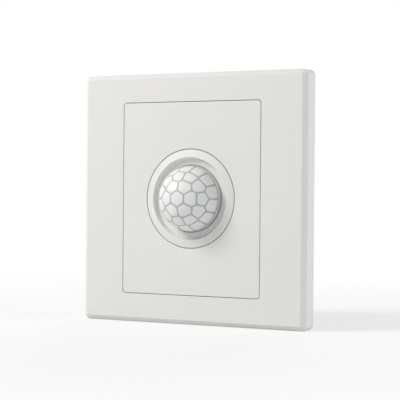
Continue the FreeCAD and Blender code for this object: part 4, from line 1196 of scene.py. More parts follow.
class CentreCover(SubAssembly):
    """The centre cover with its ring, lens and retainer."""

    sizes = CoverSizes()
    zones = ZonePlan()

    def build(self) -> None:
        """Builds the four pieces that move with the cover."""
        self._cover()
        self._bezel()
        self._lens()
        self._retainer()

    def _cover(self) -> None:
        """Portrait shell whose rings pass from the rounded rectangle to the round hole."""
        size = self.sizes
        inner, seat = size.inner, size.seat
        hole, counter = size.tube_r + size.bezel_gap, size.bezel_r + size.bezel_gap
        outside = soften([
            Corner(size.skirt + size.face_reach, inner),
            Corner(size.skirt, inner, size.hidden_edge),
            Corner(size.skirt, -size.skirt_end, size.hidden_edge),
            Corner(0.0, -size.skirt_end, size.hidden_edge),
            Corner(0.0, -size.face, size.edge),
            Corner(size.face_reach, -size.face),
        ])
        inside = soften([
            Corner(counter + size.hole_reach, -size.face),
            Corner(counter, -size.face, size.edge),
            Corner(counter, seat, size.seat_edge),
            Corner(hole, seat, size.seat_edge),
            Corner(hole, inner, size.hidden_edge),
            Corner(hole + size.hole_reach, inner),
        ])
        rings = [outline(size.width - 2 * inset, size.height - 2 * inset,
                         max(size.corner - inset, size.least_corner), depth, side=size.side_steps)
                 for inset, depth in outside]
        around = outline(size.width, size.height, size.corner, 0.0, side=size.side_steps)
        rings += list(turned(inside, np.arctan2(around[:, 2], around[:, 0])))
        shells = [stack(np.array(rings), closed=True), *size.pegs.shells(inner)]
        self.add("cover_shell", joined(shells), "white_shell", "cover", "centre_cover")

    def _bezel(self) -> None:
        """Raised ring: a rounded profile turned about the lens axis, and its snap wedges."""
        size = self.sizes
        seat, end, tube = size.seat, size.flange_back + size.retainer, size.tube_r
        opening = size.lens_r + size.lens_gap
        profile = soften([
            Corner(opening, size.floor, size.lip_edge),
            Corner(size.recess_r, size.floor, size.hidden_edge),
            Corner(size.rim_r, -size.face - size.rim_rise, size.rim_edge),
            Corner(size.bezel_r, -size.face, size.lip_edge),
            Corner(size.bezel_r, seat, size.seat_edge),
            Corner(tube, seat, size.seat_edge),
            Corner(tube, end, size.hidden_edge),
            Corner(size.recess_r, end, size.hidden_edge),
            Corner(size.recess_r, size.flange_front, size.seat_edge),
            Corner(opening, size.flange_front, size.hidden_edge),
        ], closed=True, steps=4)
        shells = [stack(turned(profile, circle(size.bezel_steps)), closed=True)]
        front = size.inner + size.snap_gap
        inside = tube - size.tube_wall / 2
        wedge = np.array([
            (inside, front), (tube + size.snap_reach, front),
            (tube, front + size.snap_depth), (inside, front + size.snap_depth)])
        half = math.radians(size.snap_angle) / 2
        for index in range(size.snap_count):
            middle = -FULL_TURN * (index + 0.5) / size.snap_count
            angle = np.linspace(middle - half, middle + half, size.snap_points)
            shells.append(stack(turned(wedge, angle).swapaxes(0, 1)))
        self.add("ring_bezel", joined(shells), "white_shell", "cover", "lens_bezel")

    def _lens(self) -> None:
        """Half-sphere lens: an outer skin that sinks along the zone borders, skirt, flange and bore.

        The skin is the sphere of radius R less the depth times the share of the groove.
        """
        size = self.sizes
        floor, bore, radius = size.floor, size.bore_r, size.lens_r - size.skin_inset
        turn = circle(size.lens_steps)
        lean, around = np.meshgrid(np.linspace(size.lens_pole, math.pi / 2, size.lens_rows), turn,
                                   indexing="ij")
        way = ball(lean, around)
        border, near = self.zones.grooves(way, lean, radius)
        skin = way * (radius - self.zones.depth * border)[..., None]
        skin[..., 1] += floor
        rest = soften([
            Corner(radius, floor),
            Corner(radius, size.flange_front, size.seat_edge),
            Corner(size.flange_r, size.flange_front, size.hidden_edge),
            Corner(size.flange_r, size.flange_back, size.hidden_edge),
            Corner(bore, size.flange_back, size.hidden_edge),
            Corner(bore, floor),
        ], steps=3)[1:]
        inner_lean = np.linspace(math.pi / 2, size.lens_pole, size.inner_rows)[1:]
        inner = np.stack([bore * np.sin(inner_lean), floor - bore * np.cos(inner_lean)], axis=1)
        surface = stack(np.concatenate([skin, turned(np.concatenate([rest, inner]), turn)]))
        behind = np.zeros(len(surface.points) - border.size)
        surface.values["zone_border"] = np.concatenate([border.ravel(), behind])
        surface.values["zone_radius"] = np.concatenate([near.ravel(), behind])
        self.add("faceted_lens", surface, "milky_lens", "cover", "dome_lens")

    def _retainer(self) -> None:
        """Plain rounded ring behind the lens flange."""
        size = self.sizes
        front = size.flange_back
        ring = plain_ring(size.bore_r, size.flange_r, front, front + size.retainer, size.retainer_edge,
                          size.retainer_steps, steps=3)
        self.add("retainer_ring", ring, "carrier_plastic", "cover", "lens_retainer")


@dataclass
class InsideSizes:
    """How the nodes are cleaned, and the rounding of their edges. Lengths are in millimetres."""

    weld: float = 0.002
    flat_angle: float = 0.5
    sharp_angle: float = 40.0
    edge_steps: int = 2
    face_weight: int = 100
    edges: dict[str, float] = field(default_factory=lambda: {
        "rear_housing": 0.35, "support_plate": 0.25, "trimmer_bodies": 0.15, "mode_switch_body": 0.15,
        "test_button_body": 0.2, "controller_chip": 0.12, "terminal_block": 0.15, "relay_cover": 0.3,
        "film_capacitor": 0.4, "time_knob": 0.12, "light_level_knob": 0.12, "range_knob": 0.12,
        "mode_switch_slider": 0.035, "test_button_plunger": 0.2, "bulk_capacitor": 0.2,
        "smoothing_capacitor": 0.2, "varistor": 0.5, "fuse_resistor": 0.4, "bridge_rectifier": 0.2,
        "transformer_core": 0.15, "transformer_winding": 0.4, "sensor_can": 0.07,
        "chip_resistors": 0.06, "chip_capacitors": 0.08, "indicator_lamp": 0.08, "light_sensor": 0.06,
        "terminal_screw_1": 0.12, "terminal_screw_2": 0.12, "terminal_screw_3": 0.12,
        "terminal_screw_4": 0.12, "housing_screws": 0.1, "sensor_board": 0.08, "relay_board": 0.08,
    })


class Inside(SubAssembly):
    """The pieces behind the cover, taken over from the construction model."""

    sizes = InsideSizes()
    drawn_elsewhere = frozenset({
        "outer_frame", "centre_cover", "lens_bezel", "dome_lens", "lens_retainer", "relay_coil"})

    def build(self) -> None:
        """Dresses every node, and stands a rounded copy in for those that have edges to show."""
        record, edges = frame["record"], self.sizes.edges
        homes = {node: body for body, nodes in record["behaviour"]["bodies"].items() for node in nodes}
        for entry in record["subparts"]:
            node, slot = entry["node"], entry["material_slot"]
            if node in self.drawn_elsewhere:
                continue
            if node in edges:
                self._rounded_copy(node, slot, homes[node], edges[node])
                continue
            for holder in frame["nodes"][node].material_slots:
                holder.material = self.paint.material(FINISHES[slot])
            LOG.info("node %s: dressed as %s", node, slot)

    def _rounded_copy(self, node: str, slot: str, body: str, edge: float) -> None:
        """Welds a copy of a node's mesh, joins its flat faces and rounds its edges.

        Args:
            node: Name of the node.
            slot: The record's slot.
            body: The body it rides on.
            edge: Rounding of its edges.
        """
        size = self.sizes
        mesh = frame["nodes"][node].data.copy()
        mesh.name = node + "_shown"
        cleaned(mesh, weld=size.weld * MM, flat=size.flat_angle)
        mesh.shade_smooth()
        piece = self.show(mesh.name, mesh, slot, body, node)
        bevel = piece.modifiers.new("edges", "BEVEL")
        bevel.width = edge * MM
        bevel.segments = size.edge_steps
        bevel.limit_method = "ANGLE"
        bevel.angle_limit = math.radians(size.sharp_angle)
        bevel.use_clamp_overlap = True
        normals = piece.modifiers.new("flat_faces_stay_flat", "WEIGHTED_NORMAL")
        normals.mode = "FACE_AREA"
        normals.weight = size.face_weight


@dataclass
class BoardTrimSizes:
    """Sizes of the small trim on the sensor board in millimetres. The board's front is Y = 0."""

    sunk: float = 0.02
    chip_x: float = -17.7
    chip_half: float = 2.0
    chip_height: float = 9.0
    chip_front: float = -1.6
    chip_mark_r: float = 0.4
    chip_mark_at: Place = (1.2, 3.7)
    chip_mark_sunk: float = 0.05
    chip_mark_height: float = 0.07
    chip_mark_taper: float = 0.1
    leg_count: int = 7
    leg_pitch: float = 1.2
    leg_width: float = 0.45
    leg_thick: float = 0.12
    leg_flat: float = 0.35
    leg_bend: float = 0.6
    leg_reach: float = 1.0
    leg_top: float = 0.9
    leg_foot: float = 0.12
    chip_part_half: float = 1.0
    chip_part_height: float = 1.25
    chip_part_edge: float = 0.05
    resistor_x: float = 17.7
    resistor_count: int = 6
    resistor_pitch: float = 2.6
    resistor_depth: float = 0.5
    capacitor_x: float = 14.7
    capacitor_count: int = 4
    capacitor_pitch: float = 3.2
    capacitor_depth: float = 1.0
    metal_end: float = 0.38
    solder_run: float = 0.45
    solder_climb: float = 0.6
    pin_circle: float = 2.54
    solder_r: float = 0.75
    solder_fall: float = 0.62
    solder_height: float = 0.7
    board_back: float = 1.6
    relay_board_back: float = 8.2
    header_x: float = 20.7
    header_count: int = 6
    header_pitch: float = 2.0
    can_base_r: float = 4.6
    can_base: Pair = (-2.1, -1.5)
    can_tab: float = 0.95
    can_tab_root: float = 0.4
    can_tab_edges: Pair = (0.08, 0.1)
    can_tab_turn: float = 135.0
    lamp_z: float = -7.6
    lamp_r: float = 1.8


@dataclass
class CopperSizes:
    """Sizes of the copper runs, plated holes and pads on the sensor board in millimetres.

    The chip's runs fan out, on one side towards the middle of the board and on the other towards
    its edge. The chip parts' runs go to the middle, and the wide supply runs come from above and below.
    """

    width: float = 0.32
    supply_share: float = 1.6
    depth: float = 0.05
    overlap: float = 0.4
    middle_run: float = 3.4
    middle_fan: float = 0.9
    edge_run: float = 1.0
    edge_fan: float = 0.35
    first_run: float = 0.3
    first_share: float = 0.15
    last_share: float = 0.5
    least_run: float = 0.3
    part_overlap: float = 0.3
    part_first: float = 0.4
    part_run: float = 1.6
    part_fan: float = 1.2
    supply_count: int = 4
    supply_pitch: float = 5.2
    supply_narrowing: float = 0.8
    supply_levels: tuple[float, float, float, float] = (14.4, 12.6, 11.2, 9.8)
    via_r: float = 0.45
    via_rise: float = 0.02
    header_pad: float = 1.5
    pad_corner: float = 0.2
    hole_share: float = 0.5
    bore_corner: float = 0.48


@dataclass
class PrintSizes:
    """Sizes of the printed outlines on the sensor board in millimetres."""

    width: float = 0.16
    depth: float = 0.03
    sunk: float = 0.01
    gap: float = 0.25
    control_gap: float = 0.3
    can_gap: float = 1.3
    round_slack: float = 0.05
    corner: float = 0.1
    trimmer_corner: float = 0.4


@dataclass
class ControlTrimSizes:
    """Sizes of the metal and printed trim on the setting controls in millimetres."""

    row_z: float = 18.0
    sunk: float = 0.05
    trimmer_count: int = 3
    trimmer_pitch: float = 9.5
    trimmer_side: float = 6.4
    trimmer_front: float = -3.2
    tick_count: int = 11
    tick_span: float = 270.0
    tick_from: float = 2.70
    tick_to: float = 3.02
    tick_width: float = 0.13
    tick_depth: float = 0.03
    tick_edges: Pair = (0.01, 0.02)
    switch_x: float = -10.0
    switch_side: Pair = (9.0, 4.4)
    switch_front: float = -3.0
    switch_corner: float = 0.3
    switch_opening: RoundRect = (5.9, 2.0, 0.2)
    button_x: float = 10.0
    button_side: float = 6.0
    button_front: float = -2.8
    button_corner: float = 0.4
    button_hole_r: float = 1.95
    plate_inset: float = 0.15
    plate_depth: float = 0.14
    rivet_at: float = 2.3
    rivet_r: float = 0.36
    rivet_root: float = 0.02
    rivet_height: float = 0.16
    rivet_top: float = 0.96


class BoardTrim(SubAssembly):
    """Chip legs, metal ends, solder, copper runs and print on the sensor board."""

    sizes = BoardTrimSizes()
    copper = CopperSizes()
    prints = PrintSizes()
    controls = ControlTrimSizes()

    def build(self) -> None:
        """Builds the trim of the board and of the controls on it."""
        self._legs()
        self._solder()
        self._chip_ends()
        self._can_tab()
        self._copper()
        self._print()
        self._dials()
        self._control_plates()

    def _legs(self) -> None:
        """Two rows of bent legs, each an upper flat, a slope and a foot, and the chip's round mark."""
        size = self.sizes
        way = np.array([(0.0, -size.leg_top), (size.leg_flat, -size.leg_top),
                        (size.leg_bend, -size.leg_foot), (size.leg_reach, -size.leg_foot)])
        section = np.array([(-1, 1), (1, 1), (1, -1), (-1, -1)]) * (size.leg_width / 2, size.leg_thick / 2)
        shells = []
        for side in (-1, 1):
            rings = np.empty((len(way), len(section), 3))
            rings[..., 0] = size.chip_x + side * (size.chip_half + way[:, :1])
            rings[..., 1] = way[:, 1:] + section[:, 1]
            rings[..., 2] = section[:, 0]
            shells += [moved(stack(rings), z=z) for z in spread(size.leg_count, size.leg_pitch)]
        self.add("chip_legs", joined(shells), "tinned_lead", "mounting")
        share = np.linspace(0.0, 1.0, 4)
        disc = lathed(size.chip_mark_r * (1 - size.chip_mark_taper * share),
                      size.chip_front + size.chip_mark_sunk - size.chip_mark_height * share, around=24)
        inwards, up = size.chip_mark_at
        self.add("chip_mark", moved(disc, size.chip_x - inwards, up), "black_plastic", "mounting",
                 finish="dark_window")

    def _solder(self) -> None:
        """Cones of solder behind the sensor pins and at both ends of the header pins.

        The radius falls from R by a share of h^1.5 over the height h.
        """
        size = self.sizes
        pins = [(size.pin_circle * x, size.pin_circle * z, 1, size.board_back)
                for x, z in ((0, 1), (-1, 0), (0, -1))]
        for z in spread(size.header_count, size.header_pitch):
            pins += [(size.header_x, z, -1, 0.0), (size.header_x, z, 1, size.relay_board_back)]
        share = np.linspace(0.0, 1.0, 7)
        radius = size.solder_r * (1 - size.solder_fall * share ** 1.5)
        shells = [moved(lathed(radius, start + side * size.solder_height * share, around=20), x, z)
                  for x, z, side, start in pins]
        self.add("pin_solder", joined(shells), "tinned_lead", "mounting")

    def _chip_ends(self) -> None:
        """Metal ends of the chip resistors and capacitors, each with its run of solder.

        The run's height falls as h (1 - s)^2 over its length.
        """
        size = self.sizes
        half, height, skin = size.chip_part_half, size.chip_part_height / 2 + size.sunk, size.sunk
        share = np.linspace(0.0, 1.0, 6)
        columns = (
            (size.resistor_x, size.resistor_count, size.resistor_pitch, size.resistor_depth),
            (size.capacitor_x, size.capacitor_count, size.capacitor_pitch, size.capacitor_depth))
        shells = []
        for x, count, pitch, depth in columns:
            climb = -size.solder_climb * depth * (1 - share) ** 2
            run = np.stack([half + skin + size.solder_run * share, climb], axis=1)
            section = np.concatenate([run, [(half, skin)]])
            pair = []
            for side in (-1, 1):
                inner, outer = sorted((x + side * (half - size.metal_end), x + side * (half + skin)))
                pair.append(soft_block((inner, -depth - skin, -height), (outer, skin, height),
                                       size.chip_part_edge, size.chip_part_edge))
                rings = np.empty((2, len(section), 3))
                rings[..., 0] = x + side * section[:, 0]
                rings[..., 1] = section[:, 1]
                rings[..., 2] = np.array([[-height], [height]])
                pair.append(stack(rings))
            shells += [moved(shell, z=z) for z in spread(count, pitch) for shell in pair]
        self.add("chip_part_ends", joined(shells), "tinned_lead", "mounting")

    def _can_tab(self) -> None:
        """The locating tab on the foot of the sensor can."""
        size = self.sizes
        front, back = size.can_base
        low = (size.can_base_r - size.can_tab_root, front + size.sunk, -size.can_tab / 2)
        high = (size.can_base_r + size.can_tab, back - size.sunk, size.can_tab / 2)
        tab = moved(soft_block(low, high, *size.can_tab_edges), turn=size.can_tab_turn)
        self.add("can_tab", tab, "can_steel", "mounting")

    def _runs(self) -> Iterator[tuple[list[Place], float]]:
        """Middle lines of the copper runs, each straight, slanted and straight again to its hole.

        Returns:
            For each line in turn, its points in X and Z and its width.
        """
        size, copper = self.sizes, self.copper
        ways = ((1, copper.middle_run, copper.middle_fan), (-1, copper.edge_run, copper.edge_fan))
        for side, reach, fan in ways:
            start = size.chip_x + side * (size.chip_half + size.leg_reach)
            for z, lift in zip(spread(size.leg_count, size.leg_pitch), spread(size.leg_count, fan)):
                first = start + side * (copper.first_run + abs(lift) * copper.first_share)
                second = first + side * abs(lift)
                end = second + side * max(reach - abs(lift) * copper.last_share, copper.least_run)
                yield [(start - side * copper.overlap, z), (first, z), (second, z + lift),
                       (end, z + lift)], copper.width
        start = size.capacitor_x - size.chip_part_half - size.solder_run
        first = start - copper.part_first
        for z, drop in zip(spread(size.capacitor_count, size.capacitor_pitch),
                           spread(size.capacitor_count, copper.part_fan)):
            yield [(start + copper.part_overlap, z), (first, z), (first - abs(drop), z + drop),
                   (start - copper.part_run - abs(drop), z + drop)], copper.width
        share, wide = copper.supply_narrowing, copper.supply_share * copper.width
        for x in spread(copper.supply_count, copper.supply_pitch):
            for way in (-1, 1):
                far, outer, inner, near = (way * level for level in copper.supply_levels)
                yield [(x, far), (x, outer), (x * share, inner), (x * share, near)], wide

    def _copper(self) -> None:
        """Copper runs under the mask, with a plated hole at the end of each, and the header's pads."""
        size, copper = self.sizes, self.copper
        runs = list(self._runs())
        front = -copper.depth
        shells = [ribbon(line, width, front, size.sunk) for line, width in runs]
        self.add("copper_runs", joined(shells), "board_laminate", "mounting", finish="masked_copper")
        side, share = 2 * copper.via_r, copper.hole_share
        outer = (side, side, ROUND_SHARE * copper.via_r)
        bore = (share * side, share * side, copper.bore_corner * copper.via_r)
        plates = [pierced_plate(outer, bore, line[-1], front - copper.via_rise, size.sunk)
                  for line, _ in runs]
        outer = (copper.header_pad, copper.header_pad, copper.pad_corner)
        bore = tuple(share * part for part in outer)
        plates += [pierced_plate(outer, bore, (size.header_x, z), front, size.sunk)
                   for z in spread(size.header_count, size.header_pitch)]
        self.add("plated_holes", joined(plates), "tinned_lead", "mounting")

    def _print(self) -> None:
        """Thin printed outlines on the board round the parts that stand on it."""
        size, control, ink = self.sizes, self.controls, self.prints
        can, lamp = size.can_base_r + ink.can_gap, size.lamp_r + ink.gap
        button, trimmer = control.button_side / 2 + ink.control_gap, control.trimmer_side / 2 + ink.gap
        boxes = [(size.chip_x, 0.0, size.chip_half + ink.gap, size.chip_height / 2 + ink.gap, ink.corner),
                 (control.switch_x, control.row_z, control.switch_side[0] / 2 + ink.control_gap,
                  control.switch_side[1] / 2 + ink.control_gap, ink.corner),
                 (control.button_x, control.row_z, button, button, ink.corner),
                 (0.0, 0.0, can, can, can - ink.round_slack),
                 (0.0, size.lamp_z, lamp, lamp, lamp - ink.round_slack)]
        boxes += [(x, -control.row_z, trimmer, trimmer, ink.trimmer_corner)
                  for x in spread(control.trimmer_count, control.trimmer_pitch)]
        line = ink.width
        shells = [pierced_plate((2 * (right + line), 2 * (up + line), corner + line),
                                (2 * right, 2 * up, corner), (x, z), -ink.depth, ink.sunk, arc=14)
                  for x, z, right, up, corner in boxes]
        self.add("board_print", joined(shells), "label_film", "mounting")

    def _dials(self) -> None:
        """Plain dial marks round each trimmer, from one end of its turn to the other."""
        size = self.controls
        front = size.trimmer_front
        mark = soft_block((size.tick_from, front - size.tick_depth, -size.tick_width / 2),
                          (size.tick_to, front + size.sunk, size.tick_width / 2), *size.tick_edges)
        shells = [moved(mark, x, -size.row_z, angle)
                  for x in spread(size.trimmer_count, size.trimmer_pitch)
                  for angle in 90.0 + spread(size.tick_count, size.tick_span / (size.tick_count - 1))]
        self.add("dial_marks", joined(shells), "knob_plastic", "mounting")

    def _control_plates(self) -> None:
        """Steel face plates of the slide switch and the test button, the last with four rivets.

        A rivet's radius is R sqrt(1 - h^2) over its height h.
        """
        size = self.controls
        thick, edge, hole = size.plate_depth, 2 * size.plate_inset, 2 * size.button_hole_r
        wide, tall = (side - edge for side in size.switch_side)
        switch = pierced_plate((wide, tall, size.switch_corner), size.switch_opening,
                               (size.switch_x, size.row_z), size.switch_front - thick,
                               size.switch_front + size.sunk)
        side = size.button_side - edge
        button = pierced_plate((side, side, size.button_corner),
                               (hole, hole, ROUND_SHARE * size.button_hole_r),
                               (size.button_x, size.row_z), size.button_front - thick,
                               size.button_front + size.sunk)
        share = np.linspace(0.0, size.rivet_top, 6)
        depth = size.button_front - thick + size.rivet_root - size.rivet_height * share
        rivet = lathed(size.rivet_r * np.sqrt(1 - share ** 2), depth, around=16)
        rivets = [moved(rivet, size.button_x + right, size.row_z + up)
                  for right, up in four_places(size.rivet_at, size.rivet_at)]
        self.add("control_plates", joined([switch, button, *rivets]), "can_steel", "mounting")


@dataclass
class SupplyTrimSizes:
    """Sizes of the coil and of the trim on the power supply parts in millimetres."""

    coil_r: float = 4.4
    wire_r: float = 0.11
    wire_gap: float = 0.02
    turn_pitch: float = 2.05
    core_inset: float = 1.7
    core_edge: float = 0.05
    top_margin: float = 0.55
    top_height: float = 0.16
    top_fade: float = 0.4
    top_root: float = 0.1
    top_middle: float = 0.02
    score_depth: float = 0.12
    score_width: float = 0.13
    stripe_angle: float = 50.0
    stripe_thick: float = 0.03
    stripe_foot: float = 3.0
    stripe_top: float = 0.25
    lead_r: float = 0.3
    lead_root: float = 0.5
    lead_bend: float = 1.0
    lead_end: float = 1.0
    lead_past: float = 0.3


class SupplyTrim(SubAssembly):
    """The relay coil, and the trim on the round capacitors and the fusible resistor."""

    sizes = SupplyTrimSizes()

    def build(self) -> None:
        """Builds the coil, the capacitor tops and stripes, and the resistor's leads."""
        self._coil()
        self._capacitors()
        self._leads()

    def _coil(self) -> None:
        """One wound layer of wire over the plain inner turns, between the ends of the node's box."""
        size = self.sizes
        low, high, middle = node_box("relay_coil")
        start, end = low[1] + size.wire_gap, high[1] - size.wire_gap
        core_r = size.coil_r - size.core_inset * size.wire_r
        inner = plain_ring(self._bore("relay_coil"), core_r, start, end, size.core_edge, around=64, steps=2)
        first, last = start + size.wire_r, end - size.wire_r
        turns = int((last - first) / (size.turn_pitch * size.wire_r))
        outer = wound_wire(size.coil_r - size.wire_r, size.wire_r, first, last, turns)
        coil = moved(joined([inner, outer]), middle[0], middle[2])
        self.add("wound_coil", coil, "copper", "mounting", "relay_coil")

    @staticmethod
    def _bore(node: str) -> float:
        """Inner radius of a round node: the least distance of its points from its axis.

        Args:
            node: Name of the node.

        Returns:
            The radius in millimetres.
        """
        flat = mesh_points(frame["nodes"][node].data)[:, [0, 2]] / MM
        middle = (flat.min(axis=0) + flat.max(axis=0)) / 2
        return float(np.linalg.norm(flat - middle, axis=1).min())

    def _capacitors(self) -> None:
        """Scored metal tops and pale stripes of the two round capacitors."""
        tops, stripes = [], []
        for node in ("bulk_capacitor", "smoothing_capacitor"):
            low, high, middle = node_box(node)
            radius = (high[0] - low[0]) / 2
            tops.append(moved(self._top(radius, high[1]), middle[0], middle[2]))
            stripes.append(moved(self._stripe(radius, low[1], high[1]), middle[0], middle[2]))
        self.add("capacitor_tops", joined(tops), "can_steel", "mounting")
        self.add("capacitor_stripes", joined(stripes), "label_film", "mounting")

    def _top(self, radius: float, level: float) -> Surface:
        """A disc whose height over (radius, angle) is h sqrt(2 f) - s f exp(-(d / w)^2).

        Here d is the distance to the nearer line of a cross, f falls from 1 to 0 near the rim, and
        2 f counts up to 1.

        Args:
            radius: Radius of the can.
            level: End of the can along Y.

        Returns:
            The surface.
        """
        size = self.sizes
        out = np.linspace(size.top_middle, radius - size.top_margin, 26)[:, None]
        angle = circle(96)[None, :]
        across, up = out * np.cos(angle), out * np.sin(angle)
        cross = np.minimum(np.abs(across), np.abs(up))
        fade = np.clip((radius - size.top_margin - out) / size.top_fade, 0.0, 1.0)
        score = size.score_depth * np.exp(-(cross / size.score_width) ** 2) * fade
        height = size.top_height * np.sqrt(np.clip(fade * 2, 0.0, 1.0))
        rings = np.stack([across, level + height - score, up], axis=-1)
        foot = rings[-1:].copy()
        foot[..., 1] = level - size.top_root
        return stack(np.concatenate([rings, foot]))

    def _stripe(self, radius: float, foot: float, level: float) -> Surface:
        """An arc section round the can, carried along Y.

        Args:
            radius: Radius of the can.
            foot: Start of the can along Y.
            level: End of the can along Y.

        Returns:
            The surface.
        """
        size = self.sizes
        half = math.radians(size.stripe_angle) / 2
        angle = np.linspace(-half, half, 13)
        arc = np.stack([np.cos(angle), np.sin(angle)], axis=1)
        section = np.concatenate([(radius + size.stripe_thick) * arc,
                                  (radius - size.stripe_thick) * arc[::-1]])
        ends = (foot + size.stripe_foot, level - size.stripe_top)
        return stack(np.stack([at_depth(section, depth) for depth in ends]))

    def _leads(self) -> None:
        """The fusible resistor's two leads, each a round wire bent towards the board.

        The middle line runs straight out, turns a quarter circle and runs straight to the board.
        The section is a circle in the plane of the line's normal and Z.
        """
        size = self.sizes
        low, high, middle = node_box("fuse_resistor")
        turn = np.linspace(0.0, math.pi / 2, 8)
        bend, drop = size.lead_bend, low[1] - middle[1] - size.lead_past
        quarter = np.stack([size.lead_end + bend * np.sin(turn), bend * (np.cos(turn) - 1)], axis=1)
        line = np.concatenate([[(-size.lead_root, 0.0)], quarter, [(size.lead_end + bend, drop)]])
        normal = np.concatenate([[(0.0, 1.0)], np.stack([np.sin(turn), np.cos(turn)], axis=1), [(1.0, 0.0)]])
        out, along = size.lead_r * np.cos(circle(10)), size.lead_r * np.sin(circle(10))
        shells = []
        for side, end in ((1, high[0]), (-1, low[0])):
            across = end + side * (line[:, :1] + normal[:, :1] * out)
            depth = middle[1] + line[:, 1:] + normal[:, 1:] * out
            level = np.broadcast_to(middle[2] + along, across.shape)
            shells.append(stack(np.stack([across, depth, level], axis=-1)))
        self.add("resistor_leads", joined(shells), "tinned_lead", "mounting")


@dataclass
class LabelSizes:
    """Sizes of the print on the blank label at the back in millimetres."""

    width: float = 33.4
    height: float = 17.4
    middle_z: float = 5.0
    face: float = 25.85
    print_depth: float = 0.03
    sunk: float = 0.01
    margin: float = 1.0
    corner: float = 0.8
    line: float = 0.22
    number_count: int = 4
    number_pitch: float = 7.5
    number_height: float = 2.6
    font_share: float = 1.35
    number_curve: int = 4
    number_drop: float = 4.2
    number_weld: float = 0.001


class LabelPrint(SubAssembly):
    """A line border and plain terminal numbers on the blank label."""

    sizes = LabelSizes()

    def build(self) -> None:
        """Builds the border, a line above the numbers, the lines between them and the numbers."""
        size = self.sizes
        front, back = size.face - size.sunk, size.face + size.print_depth
        wide, tall, thin = size.width - 2 * size.margin, size.height - 2 * size.margin, 2 * size.line
        shells = [pierced_plate((wide, tall, size.corner),
                                (wide - thin, tall - thin, size.corner - size.line),
                                (0.0, size.middle_z), front, back)]
        bottom = size.middle_z - tall / 2
        level = bottom + size.number_drop
        lines = [[(-wide / 2, level), (wide / 2, level)]]
        lines += [[(x, bottom), (x, level)] for x in spread(size.number_count - 1, size.number_pitch)]
        shells += [ribbon(line, size.line, front, back) for line in lines]
        self.add("label_lines", joined(shells), "label_film", "mounting", finish="label_ink")
        places = spread(size.number_count, size.number_pitch)[::-1]
        for value, x in enumerate(places, start=1):
            self._number(value, (float(x), (front + back) / 2, (bottom + level) / 2), back - front)

    def _number(self, value: int, middle: Point, thick: float) -> None:
        """One printed number that reads from behind.

        Args:
            value: The number.
            middle: Its middle.
            thick: Its thickness along Y.
        """
        size = self.sizes
        text = bpy.data.curves.new("number_text", "FONT")
        text.body = str(value)
        text.size = size.font_share * size.number_height * MM
        text.align_x, text.align_y = "CENTER", "CENTER"
        text.extrude = thick / 2 * MM
        text.resolution_u = size.number_curve
        carrier = bpy.data.objects.new("number_text", text)
        mesh = bpy.data.meshes.new_from_object(carrier)
        bpy.data.objects.remove(carrier)
        points = mesh_points(mesh)
        across, up, out = (points - (points.min(axis=0) + points.max(axis=0)) / 2).T
        placed = np.stack([-across, out, up], axis=1) + np.array(middle) * MM
        mesh.vertices.foreach_set("co", placed.ravel())
        cleaned(mesh, weld=size.number_weld * MM, outwards=True)
        self.show("label_number_" + str(value), mesh, "label_film", "mounting", finish="label_ink")


@dataclass(frozen=True)
class Lamp:
    """One square soft lamp: its place and side in metres, its power in watts and its colour."""

    name: str
    place: Point
    size: float
    power: float
    colour: Colour
    mirrored: bool = True


@dataclass
class StudioSizes:
    """Camera fitted to the photograph, floor and lamps. Lengths are in metres, the lens in mm."""

    camera: Point = (0.22515, -0.41838, 0.00338)
    azimuth: float = 28.2736
    elevation: float = 0.4637
    roll: float = 0.4931
    lens: float = 124.01
    sensor: float = 36.0
    nearest: float = 0.01
    floor: float = -0.0431
    floor_half: float = 3.0
    floor_grey: Colour = (0.86, 0.86, 0.86)
    shadow_from: float = 0.09
    shadow_to: float = 0.30
    shadow_white: float = 0.62
    sky: float = 0.30
    lamps: tuple[Lamp, ...] = (
        Lamp("key", (-0.50, -0.50, 0.60), 0.34, 6.5, (1.0, 0.99, 0.97)),
        Lamp("fill", (0.80, 0.14, 0.20), 0.40, 2.6, (0.97, 0.985, 1.0)),
        Lamp("rear", (-0.20, 0.75, 0.24), 0.45, 3.0, (1.0, 1.0, 1.0), mirrored=False))


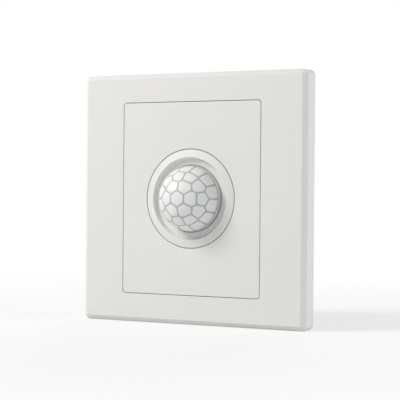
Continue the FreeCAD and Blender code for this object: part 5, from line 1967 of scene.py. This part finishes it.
class Studio:
    """Camera, floor, world and lamps."""

    sizes = StudioSizes()

    def build(self) -> None:
        """Builds the studio."""
        self._camera()
        self._floor()
        self._world()
        for lamp in self.sizes.lamps:
            self._lamp(lamp)

    def _camera(self) -> None:
        """Places the camera from its azimuth, elevation and roll.

        The view runs along (-sin a cos e, cos a cos e, -sin e). The roll turns right and up about
        it: right' = right cos r + up sin r, and up' = up cos r - right sin r.
        """
        size = self.sizes
        a, e, r = (math.radians(value) for value in (size.azimuth, size.elevation, size.roll))
        ahead = Vector((-math.sin(a) * math.cos(e), math.cos(a) * math.cos(e), -math.sin(e)))
        right = Vector((math.cos(a), math.sin(a), 0.0))
        up = right.cross(ahead)
        turned_right = right * math.cos(r) + up * math.sin(r)
        turned_up = up * math.cos(r) - right * math.sin(r)
        data = bpy.data.cameras.new("camera")
        data.lens = size.lens
        data.sensor_width = size.sensor
        data.clip_start = size.nearest
        camera = bpy.data.objects.new("camera", data)
        bpy.context.scene.collection.objects.link(camera)
        pose = Matrix((turned_right, turned_up, -ahead)).transposed().to_4x4()
        pose.translation = Vector(size.camera)
        camera.matrix_world = pose
        bpy.context.scene.camera = camera

    def _floor(self) -> None:
        """Pale floor that looks white and keeps the object's shadow near it.

        Where it is seen, a white share that grows with the distance from the middle covers it.
        """
        size = self.sizes
        mesh = bpy.data.meshes.new("floor")
        half, level = size.floor_half, size.floor
        mesh.from_pydata([(-half, -half, level), (half, -half, level), (half, half, level),
                          (-half, half, level)], [], [(0, 1, 2, 3)])
        material = bpy.data.materials.new("floor")
        material.use_nodes = True
        sheet = NodeSheet(material.node_tree)
        out, plain, white = sheet.add("OutputMaterial"), sheet.add("BsdfDiffuse"), sheet.add("Emission")
        sheet.feed(size.floor_grey, plain.inputs["Color"])
        sheet.feed((1.0, 1.0, 1.0), white.inputs["Color"])
        sheet.feed(1.0, white.inputs["Strength"])
        reach = sheet.add("VectorMath", operation="LENGTH")
        sheet.feed(sheet.place(), reach.inputs[0])
        fade = sheet.add("MapRange", interpolation_type="SMOOTHSTEP")
        for label, value in (("Value", reach.outputs["Value"]), ("From Min", size.shadow_from),
                             ("From Max", size.shadow_to), ("To Min", size.shadow_white), ("To Max", 1.0)):
            sheet.feed(value, fade.inputs[label])
        both = sheet.add("MixShader")
        share = sheet.maths("MULTIPLY", sheet.seen(), fade.outputs["Result"])
        for source, target in zip((share, plain.outputs["BSDF"], white.outputs["Emission"]), both.inputs):
            sheet.feed(source, target)
        sheet.feed(both.outputs["Shader"], out.inputs["Surface"])
        mesh.materials.append(material)
        floor = bpy.data.objects.new("floor", mesh)
        bpy.context.scene.collection.objects.link(floor)

    def _world(self) -> None:
        """Soft grey sky for light, white where it is seen, mirrored or seen through glass."""
        grey = self.sizes.sky
        world = bpy.data.worlds.new("studio")
        world.use_nodes = True
        bpy.context.scene.world = world
        sheet = NodeSheet(world.node_tree)
        out, sky = sheet.add("OutputWorld"), sheet.add("Background")
        sheet.feed((1.0, 1.0, 1.0), sky.inputs["Color"])
        sheet.feed(sheet.maths("MULTIPLY_ADD", sheet.seen(), 1.0 - grey, grey), sky.inputs["Strength"])
        sheet.feed(sky.outputs["Background"], out.inputs["Surface"])

    @staticmethod
    def _lamp(lamp: Lamp) -> None:
        """Adds one lamp aimed at the object.

        Args:
            lamp: The lamp.
        """
        data = bpy.data.lights.new(lamp.name, "AREA")
        data.energy, data.size, data.color = lamp.power, lamp.size, lamp.colour
        light = bpy.data.objects.new(lamp.name, data)
        bpy.context.scene.collection.objects.link(light)
        light.location = lamp.place
        light.visible_glossy = lamp.mirrored
        light.rotation_euler = (-Vector(lamp.place)).to_track_quat("-Z", "Y").to_euler()


def main() -> None:
    """Builds the studio and every sub-assembly."""
    logging.basicConfig(level=logging.INFO, format="%(name)s: %(message)s")
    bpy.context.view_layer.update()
    bpy.context.scene.view_settings.view_transform = "Standard"
    paint = Paintshop(EffectShelf())
    Studio().build()
    for group in (OuterFrame, CentreCover, Inside, BoardTrim, SupplyTrim, LabelPrint):
        group(paint).build()


if __name__ == "__main__":
    main()
